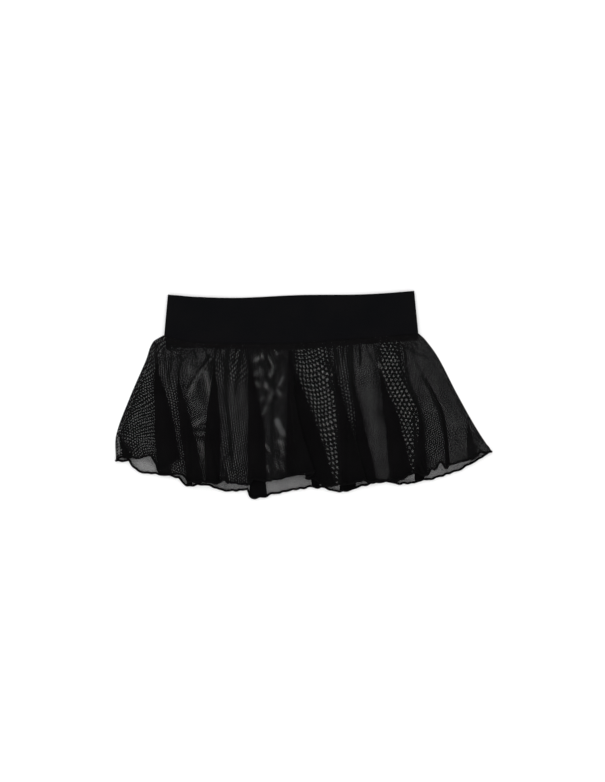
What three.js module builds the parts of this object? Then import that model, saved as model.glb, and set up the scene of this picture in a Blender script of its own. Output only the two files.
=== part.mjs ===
import * as THREE from 'three';

// A mesh mini skirt laid flat, front up. X runs across it, Y up to the waist and Z off the surface it lies on.
// Every cloth piece is a wall swept through stations, from the waist seam (0) down to the hem (1).

const { lerp, clamp, smoothstep, degToRad } = THREE.MathUtils;

// Driving dimensions, in millimetres
const clothWall = 1.2;
const elasticWall = 1.6;
const allowanceWall = 1;
const allowanceHeight = 8;
const allowanceInset = 2;
const seamGap = 0.3;
const waistGap = 0.7;
const hemRadius = 0.75;
const hemSides = 5;
const hemSpacing = 1.2;
const lapRadius = 1.15;
const lapStartWidth = 1;
const lapRampRun = 8;
const lapMargin = 1.5;
const lapSpan = 5;
const lapTopColumns = 4;
const lapTurns = [45, 135];
const lapClosingRun = 0.2;
const lapGrowthDelay = 0.1;
const leastTop = 0.25;
const mostSlack = 0.1;
const godetTipWidth = 1.1;
const narrowRow = 5;
const sameStation = 1e-9;

// Heights of the walls' middles above the surface
const backNetHeight = clothWall / 2;
const frontNetHeight = 3.7;
const frontWaistHeight = 4.7;
const frontBandTopHeight = 2.7;
const allowanceBackHeight = 2;
const allowanceFrontHeight = 3.3;

// Gathers at the waist and waves of the rolled hem
const gatherCount = 27;
const gatherRise = 1.5;
const ruffleCount = 33;
const ruffleRise = 4;
const ruffleScallop = 1.2;
const backRidgeCount = 9;
const backRidgeRise = 0.8;
const backHemRise = 0.4;
const frontEdgeShare = 0.05;
const backEdgeShare = 0.06;
const waistDrop = [0.07, 0.25];
const gatherIn = [0, 0.06];
const gatherOut = [0.1, 0.36];
const ruffleIn = [0.76, 1];
const scallopIn = [0.8, 1];
const ridgeIn = [0.14, 0.3];
const ridgeOut = [0.7, 0.8];
const backHemIn = [0.85, 1];
const ridgeTrough = 0.35;
const calmReach = 1.3;
const calmRun = 10;
// Where the crests of each wave fall
const phases = { gather: 0.4, ruffle: 1.7, backRidge: 2.2, backHem: 0.6 };
const wander = { amount: 0.9, count: 3.3, fade: 0.35, fadeCount: 5.7 };

const stations = [0, 0.06, 0.14, 0.22, 0.32, 0.44, 0.56, 0.68, 0.8, 0.9, 1];
const foldStep = 0.03;
const middle = 0.6;
const toeStart = 0.9;

// The waistband's corners, and the heights of its two edges, each by the share of the way across
const band = { leftTop: -185, rightTop: 151, leftBottom: -190, rightBottom: 156.5, backPeek: 2 };
const bandTop = [[0, 135.5], [0.13, 132], [0.3, 130], [0.54, 133], [0.78, 135], [1, 140.5]];
const bandBottom = [[0, 79.5], [0.1, 72], [0.45, 69], [0.7, 74.5], [1, 82]];

// The skirt's two side folds, by station, and the height of the hem at each
const leftFold = [[0, -192], [0.05, -205.5], [0.2, -215.5], [0.5, -237.5], [0.8, -256], [1, -256.5]];
const rightFold = [[0, 158], [0.05, 166.5], [0.2, 184], [0.5, 209], [0.8, 236], [1, 257]];
const leftTip = -90;
const rightTip = -78.5;

// Laps of the front: from is the station where one starts, width how far it reaches back under itself at the hem.
// middle and hem are the fold's places across, and hemTop and hemUnder the heights of the hem over and under it.
const pleatLeft = { from: 0.56, width: 8, hem: -137.5 };
const pleatRight = { from: 0.56, width: 8, hem: -132.5 };
const sixthLap = { from: 0.5, width: 18, hem: 84.5 };
const fourthLap = { from: 0.22, width: 10, over: 'left', middle: -7, hem: 14, hemTop: -105.5, hemUnder: -113.5 };
const flapLap = { from: 0.75, width: 9, over: 'right', middle: -104, hem: -112, hemTop: -116, hemUnder: -119 };
const patchLap = { from: 0.6, width: 10, over: 'left', middle: 214, hem: 236, hemTop: -84, hemUnder: -84 };

// Front godets from left to right: where the seam meets the waist, the point of the godet and its two sides.
// apexAt is a station, middle and hem are across, y is the hem's height and toe where the right side ends.
const frontGodets = [
  { waist: -185, apexAt: 0.8, apex: -249, leftHem: -246.5, leftY: -84.5, rightHem: -231.5, rightY: -87 },
  { waist: -176, apexAt: 0.14, apex: -199, leftMiddle: -202.5, rightMiddle: -177.5,
    leftHem: -198.5, leftY: -106, rightHem: -166, rightY: -106.8, toe: -197.4 },
  { waist: -160, apexAt: 0.22, apex: -170.5, leftMiddle: -169, rightMiddle: -152,
    leftHem: -158.5, leftY: -117, rightHem: -137.5, rightY: -118.5, rightLap: pleatLeft },
  { waist: -122, apexAt: 0.14, apex: -121.5, leftMiddle: -133, rightMiddle: -113,
    leftHem: -132.5, leftY: -118.5, rightHem: -114.5, rightY: -120, leftLap: pleatRight },
  { waist: -77, apexAt: 0.06, apex: -75.5, leftMiddle: -75.5, rightMiddle: -54.5,
    leftHem: -75.5, leftY: -124, rightHem: -50, rightY: -116 },
  { waist: -21, apexAt: 0.06, apex: -20.5, leftMiddle: -23, rightMiddle: 19.5,
    leftHem: -23.5, leftY: -112.5, rightHem: 43.5, rightY: -124, lap: fourthLap },
  { waist: 36, apexAt: 0.14, apex: 39.5, leftMiddle: 49, rightMiddle: 64,
    leftHem: 51.5, leftY: -122, rightHem: 84.5, rightY: -118.5, rightLap: sixthLap, columns: 7 },
  { waist: 62, apexAt: 0.22, apex: 64.5, leftMiddle: 70.5, rightMiddle: 82.5,
    leftHem: 73, leftY: -117.5, rightHem: 100, rightY: -119 },
  { waist: 100, apexAt: 0.22, apex: 103, leftMiddle: 111, rightMiddle: 129.5,
    leftHem: 122, leftY: -117, rightHem: 148, rightY: -107.5 },
  { waist: 124, apexAt: 0.32, apex: 141, leftMiddle: 156.5, rightMiddle: 161.5,
    leftHem: 152.5, leftY: -106, rightHem: 169, rightY: -110.5 },
  { waist: 138, apexAt: 0.32, apex: 166, leftMiddle: 187, rightMiddle: 190.5,
    leftHem: 194.5, leftY: -96, rightHem: 200, rightY: -96.5 },
];
// Front gores between them, with the columns of each wall and how far its hem rises in the middle
const frontGores = [
  { columns: 5, hemSag: 8 },
  { columns: 7, hemSag: 4 },
  { columns: 5, hemSag: 0 },
  { columns: 7, hemSag: 1, lap: flapLap },
  { columns: 7, hemSag: -1 },
  { columns: 6, hemSag: 0 },
  { columns: 5, hemSag: 0 },
  { columns: 6, hemSag: 0 },
  { columns: 6, hemSag: 0 },
  { columns: 6, hemSag: 3 },
];
// Back godets from left to right
const backGodets = [
  { waist: -174, apexAt: 0.14, apex: -197.5, leftHem: -194, leftY: -109, rightHem: -179, rightY: -111.5 },
  { waist: -158, apexAt: 0.22, apex: -169, leftHem: -159, leftY: -123.5, rightHem: -151.5, rightY: -123.5 },
  { waist: -77, apexAt: 0.14, apex: -74, leftHem: -73.5, leftY: -139, rightHem: -49.5, rightY: -139.5 },
  { waist: -19.5, apexAt: 0.06, apex: -18.5, leftHem: 11.5, leftY: -126, rightHem: 22.5, rightY: -126 },
  { waist: 39, apexAt: 0.22, apex: 41.5, leftHem: 49.7, leftY: -131.3, rightHem: 72.2, rightY: -127.2 },
  { waist: 101.5, apexAt: 0.22, apex: 105.5, leftHem: 117.8, leftY: -117.8, rightHem: 127.5, rightY: -121.5 },
  { waist: 131, apexAt: 0.44, apex: 147, leftHem: 152, leftY: -119, rightHem: 165, rightY: -116 },
];
// How far the hem of each back gore between them rises in the middle
const backHemSags = [3, 5, 0, 0, 2, 0];
const backGoreColumns = 5;
const backGodetColumns = 3;
const frontGodetColumns = 4;
const bandColumns = 22;
const turnColumns = 4;

// The largest folds of the front, as ridges: place across at the start and end stations, rise and half width
const folds = [
  { from: 0.08, to: 0.4, start: -127, end: -158, rise: 2.4, halfWidth: 7 },
  { from: 0.02, to: 0.8, start: -103, end: -101, rise: 2.6, halfWidth: 8 },
  { from: 0.15, to: 1, start: -43, end: -43, rise: 2.2, halfWidth: 8 },
  { from: 0.02, to: 0.25, start: 48, end: 49, rise: 2, halfWidth: 6 },
  { from: 0.02, to: 0.25, start: 85, end: 97, rise: 2, halfWidth: 7 },
  { from: 0, to: 0.8, start: 128, end: 160, rise: 2.6, halfWidth: 8 },
  { from: 0.05, to: 0.5, start: -186, end: -222, rise: 2, halfWidth: 8 },
  { from: 0.2, to: 0.9, start: 8, end: 46, rise: 1.8, halfWidth: 9 },
  { from: 0.3, to: 0.95, start: 196, end: 226, rise: 1.8, halfWidth: 10 },
];

// The net foot that runs below the second godet
const foot = { width: 15, hem: -180 };
const pressedFlat = [pleatLeft, pleatRight, sixthLap, fourthLap, flapLap, patchLap, foot];

const finishes = {
  net: { color: 0x2b2b2d, roughness: 0.9 },
  godet: { color: 0x131314, roughness: 0.9 },
  elastic: { color: 0x171718, roughness: 0.75 },
  thread: { color: 0x101011, roughness: 0.8 },
};

// A smooth curve through rows of [place, value]
function through(rows, at) {
  const place = clamp(at, rows[0][0], rows[rows.length - 1][0]);
  let i = 0;
  while (i < rows.length - 2 && place > rows[i + 1][0]) i += 1;
  const slope = (k) => {
    const before = rows[Math.max(k - 1, 0)];
    const after = rows[Math.min(k + 1, rows.length - 1)];
    return (after[1] - before[1]) / (after[0] - before[0]);
  };
  const span = rows[i + 1][0] - rows[i][0];
  const t = (place - rows[i][0]) / span;
  const ease = t * t * (3 - 2 * t);
  return lerp(rows[i][1], rows[i + 1][1], ease)
    + t * (1 - t) * span * ((1 - t) * slope(i) - t * slope(i + 1));
}

const shareAcrossBand = (x) => (x - band.leftBottom) / (band.rightBottom - band.leftBottom);
const waistHeight = (x) => through(bandBottom, shareAcrossBand(x));
const shareAcross = (x, v) => (x - through(leftFold, v)) / (through(rightFold, v) - through(leftFold, v));

// A wave from 0 to 1 whose crests are unevenly spaced and unevenly high
function unevenWave(share, count, shift) {
  const turn = 2 * Math.PI;
  const drift = wander.amount * Math.sin(turn * wander.count * share + shift);
  const crest = 0.5 + 0.5 * Math.sin(turn * count * share + drift + shift);
  return crest * (1 - wander.fade + wander.fade * Math.sin(turn * wander.fadeCount * share + 2 * shift));
}

function foldRise(x, v) {
  let rise = 0;
  for (const fold of folds) {
    const along = (v - fold.from) / (fold.to - fold.from);
    if (along <= 0 || along >= 1) continue;
    const away = (x - lerp(fold.start, fold.end, along)) / fold.halfWidth;
    rise += fold.rise * Math.sin(Math.PI * Math.sqrt(along)) * Math.exp(-away * away);
  }
  return rise;
}

// How much of the ruffle is left near the laps, where the cloth is pressed flat
function calm(x) {
  return pressedFlat.reduce((left, lap) => {
    const half = calmReach * lap.width;
    return left * smoothstep(Math.abs(x - lap.hem), half, half + calmRun);
  }, 1);
}

// The middle of the front wall where nothing is lapped
function frontHeight(x, v) {
  const share = shareAcross(x, v);
  const inside = smoothstep(share, 0, frontEdgeShare) * smoothstep(1 - share, 0, frontEdgeShare);
  const plain = lerp(frontWaistHeight, frontNetHeight, smoothstep(v, ...waistDrop));
  const gathered = gatherRise * smoothstep(v, ...gatherIn) * (1 - smoothstep(v, ...gatherOut));
  const ruffled = ruffleRise * smoothstep(v, ...ruffleIn) * calm(x);
  return plain + inside * (gathered * unevenWave(share, gatherCount, phases.gather)
    + ruffled * unevenWave(share, ruffleCount, phases.ruffle) + foldRise(x, v));
}

// The middle of the back wall: flat on the surface, with a few shallow ridges lifted off it
function backHeight(x, v) {
  const share = shareAcross(x, v);
  const inside = smoothstep(share, 0, backEdgeShare) * smoothstep(1 - share, 0, backEdgeShare);
  const crest = Math.max(0, unevenWave(share, backRidgeCount, phases.backRidge) - ridgeTrough) / (1 - ridgeTrough);
  const spread = smoothstep(v, ...ridgeIn) * (1 - smoothstep(v, ...ridgeOut));
  const hem = backHemRise * smoothstep(v, ...backHemIn) * unevenWave(share, ruffleCount, phases.backHem);
  return backNetHeight + inside * (backRidgeRise * crest * spread + hem);
}

// One side of a godet, which is also the side of the gore next to it
function seamOf(row, side) {
  const top = [[0, row.waist], [row.apexAt, row.apex]];
  const rows = [...top];
  const closedRows = [...top];
  if (row.leftMiddle !== undefined) {
    rows.push([middle, row[`${side}Middle`]]);
    closedRows.push([middle, (row.leftMiddle + row.rightMiddle) / 2]);
  }
  rows.push([1, row[`${side}Hem`]]);
  closedRows.push([1, (row.leftHem + row.rightHem) / 2]);
  const out = side === 'left' ? -1 : 1;
  const hugsFold = row.apexAt > middle;
  const across = (v) => {
    if (hugsFold && v <= row.apexAt) return through(leftFold, v) + row.apex - through(leftFold, row.apexAt);
    const x = through(v < row.apexAt ? closedRows : rows, v);
    if (side === 'left' || row.toe === undefined || v <= toeStart) return x;
    return lerp(x, row.toe, (v - toeStart) / (1 - toeStart));
  };
  return {
    waist: row.waist,
    hemY: row[`${side}Y`],
    lap: row[`${side}Lap`],
    x: (v) => {
      const atTip = Math.abs(v - row.apexAt) < sameStation;
      return across(v) + (atTip ? (out * (godetTipWidth + seamGap)) / 2 : 0);
    },
  };
}

// The S of a lap at a station: how far across and how far down each of its points is
function lapShape(lap, v, room) {
  const closing = smoothstep(v, lap.from, lap.from + lapClosingRun);
  const width = lerp(lapStartWidth, lap.width, smoothstep(v, lap.from + lapGrowthDelay, 1));
  const chord = lapRadius * Math.SQRT2;
  const spans = Math.ceil(lap.width / lapSpan);
  const back = Array.from({ length: spans }, () => ({ length: width / spans, turned: 180 }));
  const turns = lapTurns.map((turned) => ({ length: chord, turned }));
  const run = [...turns, ...back, ...turns.slice().reverse()];
  const total = run.reduce((sum, part) => sum + part.length, 0);
  const scale = closing > 0 ? 1 : Math.min(1, room / (2 * total));
  const steps = [{ across: 0, down: 0 }];
  run.forEach(({ length, turned }) => {
    const heading = degToRad(turned) * closing;
    const last = steps[steps.length - 1];
    steps.push({
      across: last.across + scale * length * Math.cos(heading),
      down: last.down + scale * length * Math.sin(heading),
    });
  });
  const height = steps[steps.length - 1].down;
  const reach = Math.max(0, -Math.min(...steps.map((step) => step.across))) + clothWall;
  return { steps, height, reach };
}

// The cloth that a lap lies under is lifted near the fold and comes down away from it
const liftOver = (shape, away) => shape.height * (1 - smoothstep(away, shape.reach, shape.reach + lapRampRun));

// The stretch of a section from one side to the end of its lap; facing is 1 from the left and -1 from the right
function sectionEnd(panel, seam, facing, v, room, sideHemY) {
  const start = seam.x(v) + (facing * seamGap) / 2;
  const mine = panel.lap && panel.lap.over === (facing > 0 ? 'left' : 'right') ? panel.lap : null;
  const edgeLap = panel.tucked && seam.lap ? seam.lap : null;
  if (!mine && !edgeLap) return [{ x: start, level: 0, y: sideHemY }];
  const shape = lapShape(mine ?? edgeLap, v, room);
  const points = [];
  let fold = start;
  const plainY = (panel.left.hemY + panel.right.hemY) / 2;
  const hemAt = (y) => lerp(plainY, y, smoothstep(v, (mine ?? edgeLap).from, 1));
  if (mine) {
    const below = (station) => (station - stations[1]) / (1 - stations[1]);
    const line = through([[0, seam.x(stations[1])], [below(middle), mine.middle], [1, mine.hem]], below(v));
    const overshoot = Math.max(...shape.steps.map((step) => step.across));
    const least = leastTop * room;
    const most = room - overshoot - Math.min(lapMargin, mostSlack * room);
    fold = start + facing * clamp(facing * (line - start), least, Math.max(most, least));
    for (let i = 0; i < lapTopColumns; i += 1) {
      const share = i / lapTopColumns;
      const x = lerp(start, fold, share);
      points.push({ x, level: liftOver(shape, Math.abs(fold - x)), y: lerp(sideHemY, hemAt(mine.hemTop), share) });
    }
  }
  const turns = lapTurns.length;
  shape.steps.forEach((step, i) => {
    const runBack = clamp((i - turns) / (shape.steps.length - 1 - 2 * turns), 0, 1);
    const y = mine ? hemAt(lerp(mine.hemTop, mine.hemUnder, runBack)) : sideHemY;
    points.push({ x: fold + facing * step.across, level: shape.height - step.down, y });
  });
  return points;
}

// The places across, levels and hem heights of a front panel's section at a station, from left to right
function frontColumns(panel, v) {
  const { left, right } = panel;
  const room = right.x(v) - left.x(v) - seamGap;
  const head = sectionEnd(panel, left, 1, v, room, left.hemY);
  const tail = sectionEnd(panel, right, -1, v, room, right.hemY).reverse();
  const from = head[head.length - 1];
  const to = tail[0];
  const points = [...head];
  for (let i = 1; i < panel.columns; i += 1) {
    const share = i / panel.columns;
    const sag = panel.hemSag * Math.sin(Math.PI * share);
    points.push({ x: lerp(from.x, to.x, share), level: 0, y: lerp(from.y, to.y, share) + sag });
  }
  points.push(...tail);
  for (const [seam, end] of [[left, points[0]], [right, points[points.length - 1]]]) {
    if (panel.tucked || !seam.lap) continue;
    const shape = lapShape(seam.lap, v, room);
    points.forEach((point) => { point.level += liftOver(shape, Math.abs(point.x - end.x)); });
  }
  return points;
}

function frontSection(panel, v) {
  const atWaist = frontColumns(panel, 0);
  return frontColumns(panel, v).map(({ x, level, y }, i) => (
    place(x, atWaist[i].x, y, v, frontHeight(x, v) + level, ruffleScallop)));
}

// A point of the cloth: down its own line from the waist seam to the hem
function place(x, waistX, hemY, v, z, scallop) {
  const wave = scallop * smoothstep(v, ...scallopIn) * Math.sin(2 * Math.PI * ruffleCount * shareAcross(x, v));
  return new THREE.Vector3(x, lerp(waistHeight(waistX) - waistGap, hemY, v) + wave, z);
}

// The back panel's section, from right to left because the ring of cloth runs that way behind
function backSection(panel, v) {
  const from = panel.right.x(v) - seamGap / 2;
  const to = panel.left.x(v) + seamGap / 2;
  return Array.from({ length: panel.columns + 1 }, (unused, i) => {
    const share = i / panel.columns;
    const x = lerp(from, to, share);
    const waistX = lerp(panel.right.waist, panel.left.waist, share);
    const hemY = lerp(panel.right.hemY, panel.left.hemY, share) + panel.hemSag * Math.sin(Math.PI * share);
    return place(x, waistX, hemY, v, backHeight(x, v), 0);
  });
}

// The places across, heights and hem heights of a side gore, from a front seam round the side fold to a back seam.
// out is 1 on the right and -1 on the left.
function sideColumns(side, v) {
  const { out, front, back, tip } = side;
  const fold = out > 0 ? rightFold : leftFold;
  const edge = through(fold, v) - (out * clothWall) / 2;
  const low = backHeight(edge, v);
  const radius = (frontHeight(edge, v) - low) / 2;
  const slope = (through(fold, v + foldStep) - through(fold, v)) / (foldStep * (waistHeight(edge) - tip));
  const turn = radius * Math.hypot(1, slope);
  const centre = edge - out * turn;
  const start = front.x(v) + (out * seamGap) / 2;
  const end = back.x(v) + (out * seamGap) / 2;
  const panel = { left: front, right: front, lap: side.lap };
  const points = sectionEnd(panel, front, 1, v, Math.abs(centre - start), front.hemY);
  if (out < 0) points[0].x = start; // the left gore starts on the left of its seam
  const from = points[points.length - 1];
  for (let i = 1; i < side.frontColumns; i += 1) {
    const share = i / side.frontColumns;
    points.push({ x: lerp(from.x, centre, share), level: 0, y: lerp(from.y, tip, share) });
  }
  points.forEach((point) => { point.z = frontHeight(point.x, v) + point.level; });
  for (let i = 0; i <= turnColumns; i += 1) {
    const angle = Math.PI * (0.5 - i / turnColumns);
    points.push({ x: centre + out * turn * Math.cos(angle), y: tip, z: low + radius + radius * Math.sin(angle) });
  }
  for (let i = 1; i <= side.backColumns; i += 1) {
    const share = i / side.backColumns;
    const x = lerp(centre, end, share);
    const y = lerp(tip, back.hemY, share) - side.hemBow * Math.sin(Math.PI * share);
    points.push({ x, y, z: backHeight(x, v) });
  }
  return points;
}

function sideSection(side, v) {
  const atWaist = sideColumns(side, 0);
  const section = sideColumns(side, v).map(({ x, y, z, level }, i) => {
    const scallop = level === undefined ? 0 : ruffleScallop;
    return place(x, atWaist[i].x, y, v, z, scallop);
  });
  return side.out > 0 ? section : section.reverse();
}

// The direction out of the cloth at a point of a grid of middle points, rows from the waist to the hem
function normalAt(rows, r, c, closed) {
  const row = rows[r];
  const last = row.length - 1;
  const before = closed ? row[(c + last) % row.length] : row[Math.max(c - 1, 0)];
  const after = closed ? row[(c + 1) % row.length] : row[Math.min(c + 1, last)];
  const across = after.clone().sub(before);
  const tip = r === 0 && Math.abs(row[last].x - row[0].x) < narrowRow;
  if (!closed && (c === 0 || c === last || tip)) across.set(Math.sign(across.x), 0, 0);
  const down = rows[Math.min(r + 1, rows.length - 1)][c].clone().sub(rows[Math.max(r - 1, 0)][c]);
  return down.cross(across).normalize();
}

// A closed wall of even thickness about a grid of middle points
function wall(rows, thickness, closed = false) {
  const height = rows.length;
  const width = rows[0].length;
  const positions = [];
  for (const side of [1, -1]) {
    rows.forEach((row, r) => row.forEach((point, c) => {
      const out = normalAt(rows, r, c, closed);
      positions.push(...point.clone().addScaledVector(out, (side * thickness) / 2).toArray());
    }));
  }
  const at = (side, r, c) => side * height * width + r * width + (c % width);
  const faces = [];
  const quad = (a, b, c, d) => faces.push(a, b, c, a, c, d);
  const spans = closed ? width : width - 1;
  for (let r = 0; r < height - 1; r += 1) {
    for (let c = 0; c < spans; c += 1) {
      quad(at(0, r, c), at(0, r + 1, c), at(0, r + 1, c + 1), at(0, r, c + 1));
      quad(at(1, r, c), at(1, r, c + 1), at(1, r + 1, c + 1), at(1, r + 1, c));
    }
  }
  for (let c = 0; c < spans; c += 1) {
    quad(at(0, 0, c), at(0, 0, c + 1), at(1, 0, c + 1), at(1, 0, c));
    quad(at(0, height - 1, c), at(1, height - 1, c), at(1, height - 1, c + 1), at(0, height - 1, c + 1));
  }
  if (!closed) {
    for (let r = 0; r < height - 1; r += 1) {
      quad(at(0, r, 0), at(1, r, 0), at(1, r + 1, 0), at(0, r + 1, 0));
      quad(at(0, r, width - 1), at(0, r + 1, width - 1), at(1, r + 1, width - 1), at(1, r, width - 1));
    }
  }
  return solid(positions, faces);
}

function solid(positions, faces) {
  const geometry = new THREE.BufferGeometry();
  geometry.setAttribute('position', new THREE.Float32BufferAttribute(positions, 3));
  geometry.setIndex(faces);
  geometry.computeVertexNormals();
  return geometry;
}

// The rolled hem: a round edge along the last row of the cloth, a little below it
function rolledHem(line) {
  const positions = [];
  const last = line.length - 1;
  line.forEach(({ point, down }, i) => {
    const along = line[Math.min(i + 1, last)].point.clone().sub(line[Math.max(i - 1, 0)].point).normalize();
    const below = down.clone().addScaledVector(along, -down.dot(along)).normalize();
    const side = along.clone().cross(below);
    const centre = point.clone().addScaledVector(below, hemRadius + seamGap);
    centre.z = Math.max(centre.z, hemRadius);
    for (let k = 0; k < hemSides; k += 1) {
      const angle = (2 * Math.PI * k) / hemSides;
      const spot = centre.clone().addScaledVector(below, hemRadius * Math.cos(angle));
      positions.push(...spot.addScaledVector(side, hemRadius * Math.sin(angle)).toArray());
    }
  });
  const faces = [];
  for (let i = 0; i < last; i += 1) {
    for (let k = 0; k < hemSides; k += 1) {
      const a = i * hemSides + k;
      const b = i * hemSides + ((k + 1) % hemSides);
      faces.push(a, b + hemSides, a + hemSides, a, b, b + hemSides);
    }
  }
  for (let k = 1; k < hemSides - 1; k += 1) {
    const end = last * hemSides;
    faces.push(0, k + 1, k, end, end + k, end + k + 1);
  }
  return solid(positions, faces);
}

// A flattened ring, such as the waistband, from rows of { left, right, frontY, backY, frontZ, backZ }
function flatRing(rows, columns, turns, thickness) {
  const grid = rows.map((row) => {
    const radius = (row.frontZ - row.backZ) / 2;
    const centreZ = (row.frontZ + row.backZ) / 2;
    const from = row.left + radius + thickness / 2;
    const to = row.right - radius - thickness / 2;
    const points = [];
    for (let i = 0; i < columns; i += 1) {
      const x = lerp(from, to, i / columns);
      points.push(new THREE.Vector3(x, row.frontY(x), row.frontZ));
    }
    for (let i = 0; i < turns; i += 1) {
      const angle = Math.PI * (0.5 - i / turns);
      const x = to + radius * Math.cos(angle);
      points.push(new THREE.Vector3(x, row.frontY(x), centreZ + radius * Math.sin(angle)));
    }
    for (let i = 0; i < columns; i += 1) {
      const x = lerp(to, from, i / columns);
      points.push(new THREE.Vector3(x, row.backY(x), row.backZ));
    }
    for (let i = 0; i < turns; i += 1) {
      const angle = Math.PI * (1.5 - i / turns);
      const x = from + radius * Math.cos(angle);
      points.push(new THREE.Vector3(x, row.frontY(x), centreZ + radius * Math.sin(angle)));
    }
    return points;
  });
  return wall(grid, thickness, true);
}

function waistband() {
  const rows = [0, 0.5, 1].map((share) => {
    const left = lerp(band.leftTop, band.leftBottom, share);
    const right = lerp(band.rightTop, band.rightBottom, share);
    const across = (x) => (x - left) / (right - left);
    const peek = (x) => band.backPeek * (1 - share) * Math.sin(Math.PI * clamp(across(x), 0, 1)) ** 2;
    const frontY = (x) => lerp(through(bandTop, across(x)), through(bandBottom, across(x)), share);
    return {
      left, right, frontY,
      backY: (x) => frontY(x) + peek(x),
      frontZ: lerp(frontBandTopHeight, frontWaistHeight, share),
      backZ: elasticWall / 2,
    };
  });
  return flatRing(rows, bandColumns, turnColumns, elasticWall);
}

function seamAllowance() {
  const rows = [0, 1].map((share) => {
    const y = (x) => waistHeight(x) - waistGap - share * allowanceHeight;
    return {
      left: band.leftBottom + allowanceInset, right: band.rightBottom - allowanceInset, frontY: y, backY: y,
      frontZ: allowanceFrontHeight, backZ: allowanceBackHeight,
    };
  });
  return flatRing(rows, bandColumns, turnColumns, allowanceWall);
}

const skirt = new THREE.Group();
const hemLines = { front: [], back: [] };

function add(name, geometry, finish) {
  const material = new THREE.MeshStandardMaterial({ ...finish, metalness: 0 });
  const mesh = new THREE.Mesh(geometry, material);
  mesh.name = name;
  skirt.add(mesh);
}

// Adds one panel and keeps its last row for the rolled hem
function addPanel(name, section, firstStation, finish) {
  const used = stations.filter((v) => v >= firstStation - sameStation);
  const rows = used.map(section);
  add(name, wall(rows, clothWall), finish);
  const last = rows[rows.length - 1];
  const previous = rows[rows.length - 2];
  return last.map((point, c) => ({ point, down: point.clone().sub(previous[c]).normalize() }));
}

const frontSeams = frontGodets.map((row) => ({ left: seamOf(row, 'left'), right: seamOf(row, 'right') }));
const backSeams = backGodets.map((row) => ({ left: seamOf(row, 'left'), right: seamOf(row, 'right') }));

const sides = {
  left: { out: -1, front: frontSeams[0].left, back: backSeams[0].left, tip: leftTip, hemBow: 5,
    frontColumns: 2, backColumns: 8 },
  right: { out: 1, front: frontSeams.at(-1).right, back: backSeams.at(-1).right, tip: rightTip, hemBow: 1,
    frontColumns: 4, backColumns: 8, lap: patchLap },
};

add('waistband', waistband(), finishes.elastic);
add('waist_seam_allowance', seamAllowance(), finishes.thread);

const leftHem = addPanel('side_gore_left', (v) => sideSection(sides.left, v), 0, finishes.net);
const leftTurn = sides.left.backColumns + turnColumns / 2;
hemLines.front.push(...leftHem.slice(leftTurn));

frontGodets.forEach((row, i) => {
  const panel = { ...frontSeams[i], columns: row.columns ?? frontGodetColumns, hemSag: 0, lap: row.lap };
  const hem = addPanel(`front_godet_${i + 1}`, (v) => frontSection(panel, v), row.apexAt, finishes.godet);
  hemLines.front.push(...hem);
  const gore = frontGores[i];
  if (!gore) return;
  const net = { ...gore, left: frontSeams[i].right, right: frontSeams[i + 1].left };
  net.tucked = Boolean(net.left.lap || net.right.lap);
  hemLines.front.push(...addPanel(`front_gore_${i + 1}`, (v) => frontSection(net, v), 0, finishes.net));
});

const rightHem = addPanel('side_gore_right', (v) => sideSection(sides.right, v), 0, finishes.net);
const rightTurn = rightHem.length - 1 - sides.right.backColumns - turnColumns / 2;
hemLines.front.push(...rightHem.slice(0, rightTurn + 1));
hemLines.back.push(...rightHem.slice(rightTurn + 1));

for (let i = backGodets.length - 1; i >= 0; i -= 1) {
  const godet = { ...backSeams[i], columns: backGodetColumns, hemSag: 0 };
  const hem = addPanel(`back_godet_${i + 1}`, (v) => backSection(godet, v), backGodets[i].apexAt, finishes.godet);
  hemLines.back.push(...hem);
  if (i === 0) continue;
  const gore = {
    left: backSeams[i - 1].right, right: backSeams[i].left, columns: backGoreColumns, hemSag: backHemSags[i - 1],
  };
  hemLines.back.push(...addPanel(`back_gore_${i}`, (v) => backSection(gore, v), 0, finishes.net));
}
hemLines.back.push(...leftHem.slice(0, leftTurn));

// Points of neighbouring panels that nearly meet become one
function thinned(line) {
  const kept = [line[0]];
  for (const entry of line.slice(1)) {
    if (entry.point.distanceTo(kept[kept.length - 1].point) > hemSpacing) kept.push(entry);
  }
  return kept;
}

add('hem_front', rolledHem(thinned(hemLines.front)), finishes.thread);
add('hem_back', rolledHem(thinned(hemLines.back)), finishes.thread);

// The origin is below the middle of the skirt, on the surface
const box = new THREE.Box3().setFromObject(skirt);
skirt.position.set(-(box.min.x + box.max.x) / 2, -(box.min.y + box.max.y) / 2, -box.min.z);

export default skirt;
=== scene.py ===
import math
import random
import bpy
import numpy as np
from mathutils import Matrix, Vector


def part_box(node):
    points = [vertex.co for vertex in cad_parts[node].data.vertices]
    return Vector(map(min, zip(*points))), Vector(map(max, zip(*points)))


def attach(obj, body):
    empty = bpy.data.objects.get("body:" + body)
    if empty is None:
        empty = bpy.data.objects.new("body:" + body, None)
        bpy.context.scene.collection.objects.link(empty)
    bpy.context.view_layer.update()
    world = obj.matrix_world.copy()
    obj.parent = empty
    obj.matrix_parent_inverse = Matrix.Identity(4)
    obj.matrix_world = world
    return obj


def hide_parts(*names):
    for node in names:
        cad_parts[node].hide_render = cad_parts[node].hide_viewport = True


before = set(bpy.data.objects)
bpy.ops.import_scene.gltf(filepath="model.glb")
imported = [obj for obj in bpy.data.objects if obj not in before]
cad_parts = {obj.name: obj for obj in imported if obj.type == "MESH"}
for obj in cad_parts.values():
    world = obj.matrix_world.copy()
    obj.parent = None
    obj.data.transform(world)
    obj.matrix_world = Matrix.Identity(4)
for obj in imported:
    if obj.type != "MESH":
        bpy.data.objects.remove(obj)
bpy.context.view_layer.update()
mm = 0.001
print("frame loaded:", len(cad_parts), "nodes")

# Camera, floor and light

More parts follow.
